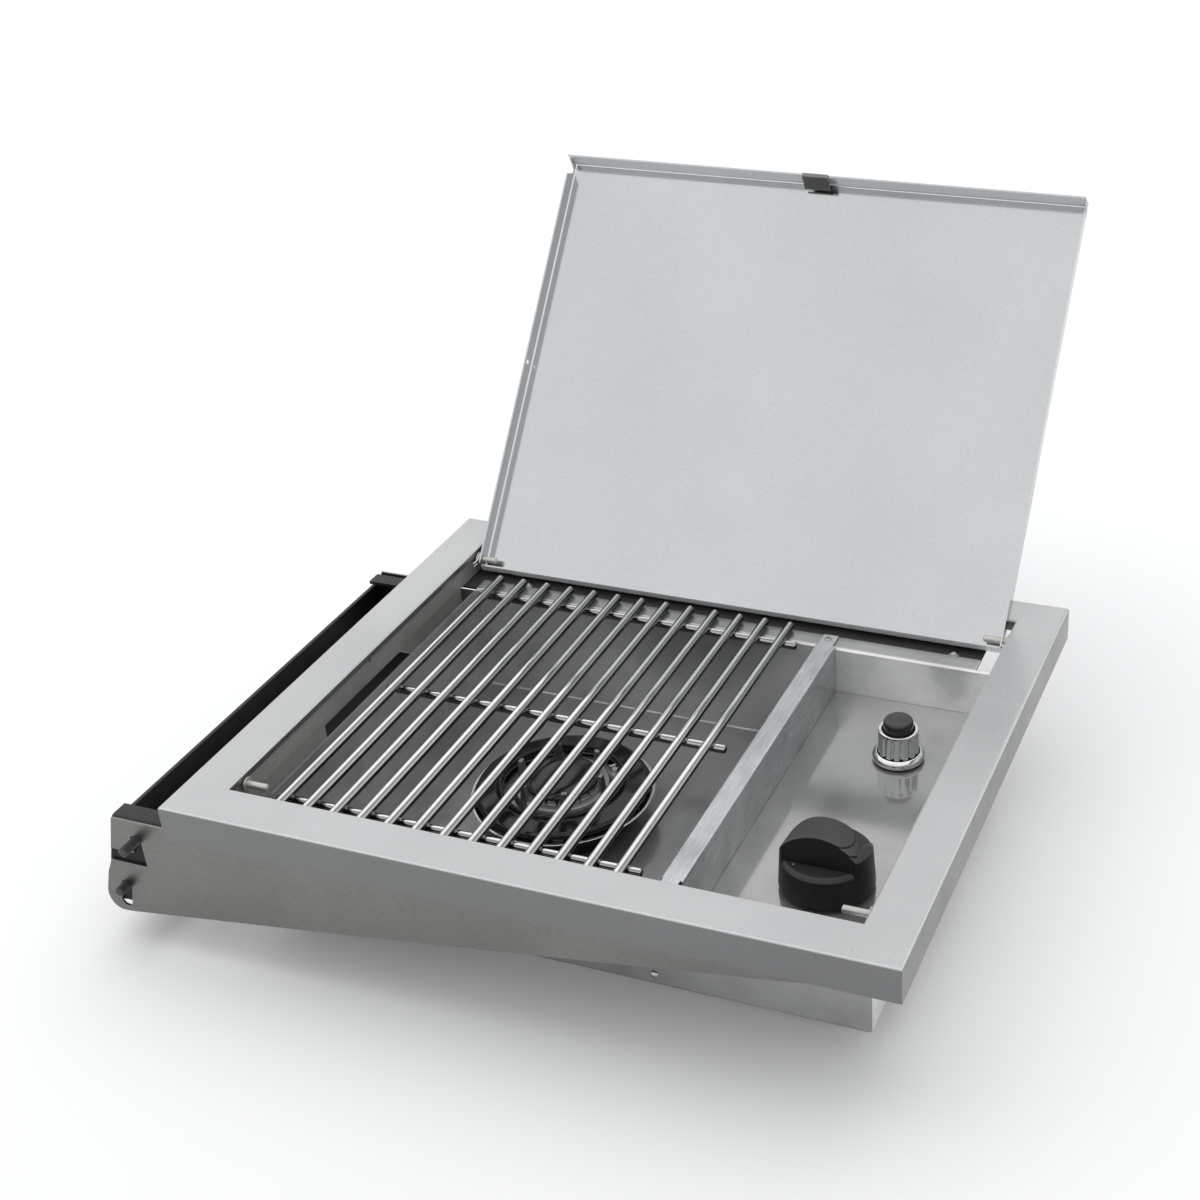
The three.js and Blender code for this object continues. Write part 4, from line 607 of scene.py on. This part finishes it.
def make_pins():
    for side, (x0, x1, head_x, collar_x, inward) in PIN_SIDES.items():
        for kind, y in (("hinge_pin", HINGE_Y), ("rest_pin", REST_Y)):
            name = f"{kind}_{side}"
            pin = Gathered()
            pin.rod((x0 - inward * 1.5, y, PIN_Z), (x1, y, PIN_Z), PIN_R, 0.9)
            low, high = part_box(name)
            head = min((low[0], high[0]), key=lambda v: abs(v / MM + FACE[0] - head_x)) / MM + FACE[0]
            pin.turned([(0, 0), (2.9, 0.05), (3.35, 0.5), (3.35, 1.9), (0, 1.95)], (head, y, PIN_Z),
                       (inward, 0, 0), 28)
            pin.turned([(1.9, 0), (3.85, 0.02), (3.98, 0.2), (3.98, 0.6), (3.85, 0.78), (1.9, 0.8)],
                       (collar_x, y, PIN_Z), (inward, 0, 0), 32, closed=True)
            pin.make(name + "_turned", "pin", replaces=[name])

    clip = Gathered()
    x, bow, leg = 28.0, 2.9, 1.1
    points = [(x, HINGE_Y - 10, PIN_Z + leg), (x, HINGE_Y - 5, PIN_Z + leg)]
    for s in range(7):
        angle = math.pi * (0.72 - s * 0.24)
        points.append((x, HINGE_Y + bow * math.cos(angle), PIN_Z + bow * math.sin(angle)))
    points += [(x, HINGE_Y - 5, PIN_Z - leg), (x, HINGE_Y - 10, PIN_Z - leg)]
    clip.wire(curve_through(points, 5), 0.6, 10)
    clip.make("hairpin_wire", "chrome", replaces=["hairpin_clip"])


def make_bolts():
    """Threaded shanks and hexagon heads at the places of the CAD bolts."""
    for name, outward in (("front_upper_bolt", -1), ("front_lower_bolt", -1),
                          ("rear_upper_bolt", 1), ("rear_lower_bolt", 1)):
        low, high = [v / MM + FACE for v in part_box(name)]
        x, z = (low.x + high.x) / 2, (low.z + high.z) / 2
        tip, head = (low.y, high.y) if outward < 0 else (high.y, low.y)
        length = abs(tip - head)
        bolt = Gathered()
        profile = [(0, 0), (1.9, 0), (2.2, 0.5)]
        along = 0.8
        while along < length - 4.5:
            profile += [(2.72, along), (2.72, along + 0.15), (2.25, along + 0.5), (2.25, along + 0.65)]
            along += 1.0
        profile += [(2.7, along), (2.7, length - BOLT_HEAD)]
        bolt.turned(profile, (x, tip, z), (0, -outward, 0), 28)
        bolt.turned([(2.0, length - BOLT_HEAD), (4.9, length - BOLT_HEAD), (4.95, length - 0.5),
                     (4.4, length - 0.02), (0, length - 0.02)], (x, tip, z), (0, -outward, 0), 6)
        bolt.make(name + "_threaded", "bolt", replaces=[name])


def dome_screw(kit, place, radius, height, washer=0.0, axis=(0, 0, 1)):
    """Dome head with a small round recess, and where it has one, a washer below it."""
    if washer:
        kit.turned([(0, 0.55), (washer - 0.2, 0.55), (washer, 0.4), (washer, 0.0), (0, 0.0)], place, axis, 28)
    base = 0.5 if washer else 0.0
    dome = [(radius * math.sin(math.pi / 2 * s / 6), base + height * math.cos(math.pi / 2 * s / 6))
            for s in range(7)]
    recess = [(0, base + height * 0.55), (radius * 0.28, base + height * 0.62), (radius * 0.32, base + height)]
    rim = [p for p in dome if p[0] > radius * 0.34] + [(radius, base)]
    kit.turned(recess + rim, place, axis, 24)


def make_screws():
    screws = Gathered()
    for x in (63.5, 342):
        for y in (290.3, 27.7):
            dome_screw(screws, (x, y, -17.0), 2.3, 1.2, 3.6)
    for y in (280.4, 37.6):
        dome_screw(screws, (267.6, y, -14.4), 2.1, 1.1)
    for y, outward in zip(BOX_ENDS_Y, (-1, 1)):
        dome_screw(screws, (254.5, y, -79), 2.6, 1.5, axis=(0, outward, 0))
    screws.make("dome_screws", "screw")


def make_washers():
    """Black washers inside the bracket's ears, round the heads of the lower bolts."""
    for name, inward in (("front_lower_bolt", 1), ("rear_lower_bolt", -1)):
        low, high = [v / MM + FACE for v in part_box(name)]
        x, z = (low.x + high.x) / 2, (low.z + high.z) / 2
        face = (high.y - BOLT_HEAD if inward > 0 else low.y + BOLT_HEAD) + inward * 0.1
        washer = Gathered()
        washer.turned([(5.15, 0), (10.6, 0), (11, 0.3), (11, 1.1), (10.6, 1.4), (5.15, 1.4)], (x, face, z),
                      (0, inward, 0), 48, closed=True)
        washer.make(name + "_washer", "black_steel")


def make_igniter():
    x, y = IGNITER
    gasket = Gathered()
    outline = [(12.4, 0.3), (14.4, 0.3), (14.5, 0.9), (12.4, 0.95)]
    gasket.turned(outline, (x, y, PANEL_Z), sides=64, closed=True)
    gasket.make("gasket_ring", "black_plastic", replaces=["igniter_gasket"])

    bezel = Gathered()
    outline = [(12.15, -44.65), (14.6, -44.65), (14.75, -44.3), (14.75, -42.3), (14.3, -41.5), (12.7, -40.0),
               (12.15, -40.2)]
    curved = corner(outline + outline[:2], 0.45, 3)
    bezel.turned([(p[0], p[1]) for p in curved[1:-1]], (x, y, 0), sides=96, closed=True)
    bezel.make("bezel_ring", "chrome", replaces=["igniter_bezel"])

    flutes, flute_depth, flutes_top, flutes_low = 14, 0.75, -27.0, -45

    def fluted(r, z, angle):
        if z > flutes_top or z < flutes_low or r < 10.5:
            return r
        turn = (angle * flutes / TURN) % 1
        depth = max(0.0, math.cos((turn - 0.5) * TURN) * 1.2 - 0.1)
        fade = min(1.0, (flutes_top - z) / 1.2)
        return r - flute_depth * min(1.0, depth) * fade

    barrel = Gathered()
    outline = [(9.05, -55.9), (11.9, -55.9), (11.9, -45.2)]
    outline += [(11.9 - 0.45 * s / 14, -45.2 + 18.2 * s / 14) for s in range(1, 15)]
    outline += [(11.4, -26.4), (11.1, -25.75), (10.5, -25.52), (9.6, -25.6), (9.1, -26.2), (9.05, -30)]
    barrel.turned(outline, (x, y, 0), sides=flutes * 14, closed=True, radius=fluted)
    barrel.make("barrel_fluted", "chrome", replaces=["igniter_barrel"])

    button = Gathered()
    outline = [(0, -18.4), (2.5, -18.4), (3.1, -18.85), (5.4, -18.9), (7.6, -19.5), (8.5, -21.2), (8.58, -26),
               (8.58, -47.9), (0, -47.9)]
    curved = corner(outline, 0.9, 5)
    button.turned([(p[0], p[1]) for p in curved], (x, y, 0), sides=64)
    button.make("button_cap", "button", "igniter_plunger",
                replaces=["igniter_button"])


# Knob, from its own centre: y of the hump's upright wall and of its rear end
KNOB_WALL = -13.7
KNOB_BACK = 22.6
KNOB_BASE_R, KNOB_BASE_Z, KNOB_TAPER = 25.3, -43.1, 0.0663
KNOB_FOOT_Z = -31
SHELF_Z = -24.6
HUMP_TOP_Z, HUMP_HALF, HUMP_DROP, HUMP_FALL = -6.9, 23.2, 20.4, 0.451
HUMP_R = 22.95
# The steps at the hump's right: radius of their arcs, how far right each arc reaches, and their depth
STEP_ARC_R, STEP_ARC_Y = 43.8, 2.7
STEP_REACHES = (13.0, 17.6)
STEP_DEPTH = 1.05
# The ledge right of the steps: its foot, its rise, and how the rise fades to the back
LEDGE_Z, LEDGE_RISE, LEDGE_FADE = -26, 7.2, 0.08
LEDGE_END_Y, LEDGE_END_FADE = 5, 0.5


def knob_radius(z):
    return KNOB_BASE_R - KNOB_TAPER * (z - KNOB_BASE_Z)


def knob_height(x, y):
    """Height of the hump: an arc across, falling to the back."""
    side = min(0.999, abs(x - 0.5) / HUMP_HALF)
    fall = HUMP_FALL * (y - KNOB_WALL) * (1 + 0.024 * x - 0.0003 * x * x)
    return HUMP_TOP_Z - fall - HUMP_DROP * (1 - math.sqrt(1 - side * side))


def knob_ledge(x, y):
    """Height of the ledge that the third band at the hump's right lies on."""
    share = min(1.0, max(0.0, (x - 12) / 7))
    rise = max(0.0, LEDGE_RISE - LEDGE_FADE * (y - KNOB_WALL) - LEDGE_END_FADE * max(0.0, y - LEDGE_END_Y))
    return LEDGE_Z + rise * share * share * (3 - 2 * share)


def knob_row(y, n):
    """One row of the hump's points, across at y; the first rows round the wall's upper edge."""
    half = math.sqrt(max(0.0, HUMP_R ** 2 - y * y))
    arcs = []
    for reach in STEP_REACHES:
        across = STEP_ARC_R ** 2 - (y + STEP_ARC_Y) ** 2
        arcs.append(min(reach - STEP_ARC_R + math.sqrt(across), half - 0.02))
    columns = [(-half + (arcs[0] + half) * k / 40, 0.0) for k in range(41)]
    columns += [(min(arcs[0] + 0.14, half), 0.9), (min(arcs[0] + 0.3, half), STEP_DEPTH)]
    columns += [(columns[-1][0] + (arcs[1] - columns[-1][0]) * k / 10, STEP_DEPTH) for k in range(1, 11)]
    columns += [(min(arcs[1] + 0.14, half), 1.95), (min(arcs[1] + 0.3, half), 2 * STEP_DEPTH)]
    columns += [(columns[-1][0] + (half - columns[-1][0]) * k / 12, 2 * STEP_DEPTH) for k in range(1, 13)]
    rounded = (0.5, 0.15, 0.0)[min(n, 2)]
    row = []
    for x, drop in columns:
        edge = max(0.0, 0.5 - (half - abs(x))) * 0.8
        z = max(knob_height(x, y) - drop - rounded - edge, knob_ledge(x, y) - edge)
        shrink = knob_radius(z) / knob_radius(-7)
        row.append(Vector((KNOB[0] + x * shrink, KNOB[1] + (y * shrink if n > 2 else y), z)))
    return row


def make_knob():
    x0, y0 = KNOB
    body = Gathered()
    outline = [(0, -33), (19.5, -33), (19.5, KNOB_BASE_Z), (25.25, KNOB_BASE_Z), (knob_radius(-27.3), -27.3),
               (22.5, -24.65), (0, SHELF_Z)]
    curved = corner(outline, 0.5, 4)
    body.turned([(p[0], p[1]) for p in curved], (x0, y0, 0), sides=128)

    # Rows run from the upright wall to the back; columns follow the two step arcs
    spread = [KNOB_WALL, KNOB_WALL + 0.12, KNOB_WALL + 0.4]
    spread += [KNOB_WALL + 0.9 + (KNOB_BACK - KNOB_WALL - 0.9) * k / 44 for k in range(45)]
    rows = [knob_row(y, n) for n, y in enumerate(spread)]
    start = len(body.points)
    wide = len(rows[0])
    for row in rows:
        body.points += row
    for n in range(len(rows) - 1):
        for k in range(wide - 1):
            a = start + n * wide + k
            body.faces.append((a, a + 1, a + wide + 1, a + wide))

    # The hump's border, followed down to its foot inside the knob's base
    rim = [start + k for k in range(wide)]
    rim += [start + n * wide + wide - 1 for n in range(1, len(rows))]
    rim += [start + (len(rows) - 1) * wide + k for k in range(wide - 2, -1, -1)]
    rim += [start + n * wide for n in range(len(rows) - 2, 0, -1)]
    foot = len(body.points)
    for index in rim:
        p = body.points[index]
        flat = Vector((p.x - x0, p.y - y0, 0))
        out = 1.0 if p.y - y0 < KNOB_WALL + 0.2 else knob_radius(KNOB_FOOT_Z) / max(flat.length, 1)
        body.points.append(Vector((x0 + flat.x * out, y0 + flat.y * out, KNOB_FOOT_Z)))
    for k in range(len(rim)):
        m = (k + 1) % len(rim)
        body.faces.append((rim[k], foot + k, foot + m, rim[m]))
    body.make("knob_moulding", "black_plastic", "knob", replaces=["control_knob"])

    dot = Gathered()
    dot.turned([(0, -24.55), (0.45, -24.58), (0.55, -24.68), (0.55, -24.9), (0, -24.9)],
               (x0 - 12.4, y0 - 15.4, 0), sides=20)
    dot.make("knob_dot", "white_dot", "knob")


def plate(kit, outline, low, high, axis):
    """A flat sheet from its outline, between two values along the axis."""
    def point(a, b, t):
        return Vector((t, a, b)) if axis == "X" else Vector((a, b, t))
    start = len(kit.points)
    count = len(outline)
    for t in (low, high):
        kit.points += [point(a, b, t) for a, b in outline]
    kit.faces.append(tuple(start + k for k in range(count - 1, -1, -1)))
    kit.faces.append(tuple(start + count + k for k in range(count)))
    for k in range(count):
        m = (k + 1) % count
        kit.faces.append((start + k, start + m, start + count + m, start + count + k))


def make_left_side():
    """Lower part of the left side panel with its cut-out, and a black plate behind it.

    The plate darkens what the cut-out shows, partly as painted shade. The photograph shows only something
    black there, so the plate is a guess at the bracket's foot.
    """
    skirt = Gathered()
    outline = [(6.5, -18.3), (40.6, -18.3), (40.6, -16.8), (275.2, -16.8), (275.2, -42), (232, -42),
               (211.3, -26.5), (202.2, -19.7), (116.1, -19.7), (116.1, -42), (6.5, -42)]
    plate(skirt, outline, 22.3, 23.5, "X")
    skirt.make("left_panel_skirt", "inner")
    foot = Gathered()
    # Black plate, partly painted shade behind the cut-out
    plate(foot, [(-50.6, 5.3), (-21, 5.3), (-21, 273.2), (-50.6, 273.2)], -75, -73.2, "Z")
    foot.make("black_backing_plate", "black_steel")


make_grate()
make_left_side()
make_burner()
make_pins()
make_bolts()
make_screws()
make_washers()
make_igniter()
make_knob()


# Stage: floor, world and lamps
FLOOR_HALF = 30
LAMP_AIM = Vector((0.25, 0, 0))
LAMPS = (
    ("overhead", (0.1, 0.4, 1.9), (3.0, 2.2), 22),
    ("left_fill", (-1.7, -0.4, 1.3), (1.6, 1.2), 6),
)


def make_floor():
    """Pale floor that keeps the shadow, and fades to white where the camera sees it far away."""
    floor = bpy.data.meshes.new("floor")
    half = FLOOR_HALF
    z = at(0, 0, FLOOR_Z).z
    floor.from_pydata([(-half, -half, z), (half, -half, z), (half, half, z), (-half, half, z)], [],
                      [(0, 1, 2, 3)])
    stage = bpy.data.objects.new("floor", floor)
    bpy.context.scene.collection.objects.link(stage)
    made = bpy.data.materials.new("pale_floor")
    made.use_nodes = True
    n = Nodes(made.node_tree)
    out = n.add("ShaderNodeOutputMaterial")
    diffuse = n.add("ShaderNodeBsdfDiffuse")
    n.link(n.mix(n.noise(3), rgb(0.84, 0.84, 0.84), rgb(0.86, 0.86, 0.86)), diffuse.inputs["Color"])
    glow = n.add("ShaderNodeEmission")
    seen = n.seen_directly()
    away = n.add("ShaderNodeVectorMath", operation="LENGTH")
    n.link(n.add("ShaderNodeTexCoord").outputs["Object"], away.inputs[0])
    far = n.range(away.outputs["Value"], 0.5, 3.0, 0.08, 0.4)
    n.link(n.math("MULTIPLY", seen, far), glow.inputs["Strength"])
    both = n.add("ShaderNodeAddShader")
    n.link(diffuse.outputs[0], both.inputs[0])
    n.link(glow.outputs[0], both.inputs[1])
    n.link(both.outputs[0], out.inputs["Surface"])
    floor.materials.append(made)


def make_world():
    """Soft light all round, which the camera and the mirror images see as white."""
    world = bpy.data.worlds.new("studio")
    bpy.context.scene.world = world
    world.use_nodes = True
    n = Nodes(world.node_tree)
    out = n.add("ShaderNodeOutputWorld")
    light = n.add("ShaderNodeBackground")
    light.inputs["Color"].default_value = rgb(0.97, 0.985, 1.0)
    light.inputs["Strength"].default_value = 0.72
    white = n.add("ShaderNodeBackground")
    white.inputs["Color"].default_value = rgb(1, 1, 1)
    white.inputs["Strength"].default_value = 1.0
    mix = n.add("ShaderNodeMixShader")
    n.link(n.seen_directly(), mix.inputs[0])
    n.link(light.outputs[0], mix.inputs[1])
    n.link(white.outputs[0], mix.inputs[2])
    n.link(mix.outputs[0], out.inputs["Surface"])


def make_lamps():
    """Area lamps; they are hidden from mirror images, where they would show as blots."""
    for name, place, size, power in LAMPS:
        data = bpy.data.lights.new(name, "AREA")
        data.shape = "RECTANGLE"
        data.size, data.size_y = size
        data.energy = power
        lamp = bpy.data.objects.new(name, data)
        lamp.location = place
        lamp.visible_glossy = False
        aim = LAMP_AIM - Vector(place)
        lamp.rotation_euler = aim.to_track_quat("-Z", "Y").to_euler()
        bpy.context.scene.collection.objects.link(lamp)


make_camera()
make_floor()
make_world()
make_lamps()
bpy.context.scene.view_settings.view_transform = "Standard"
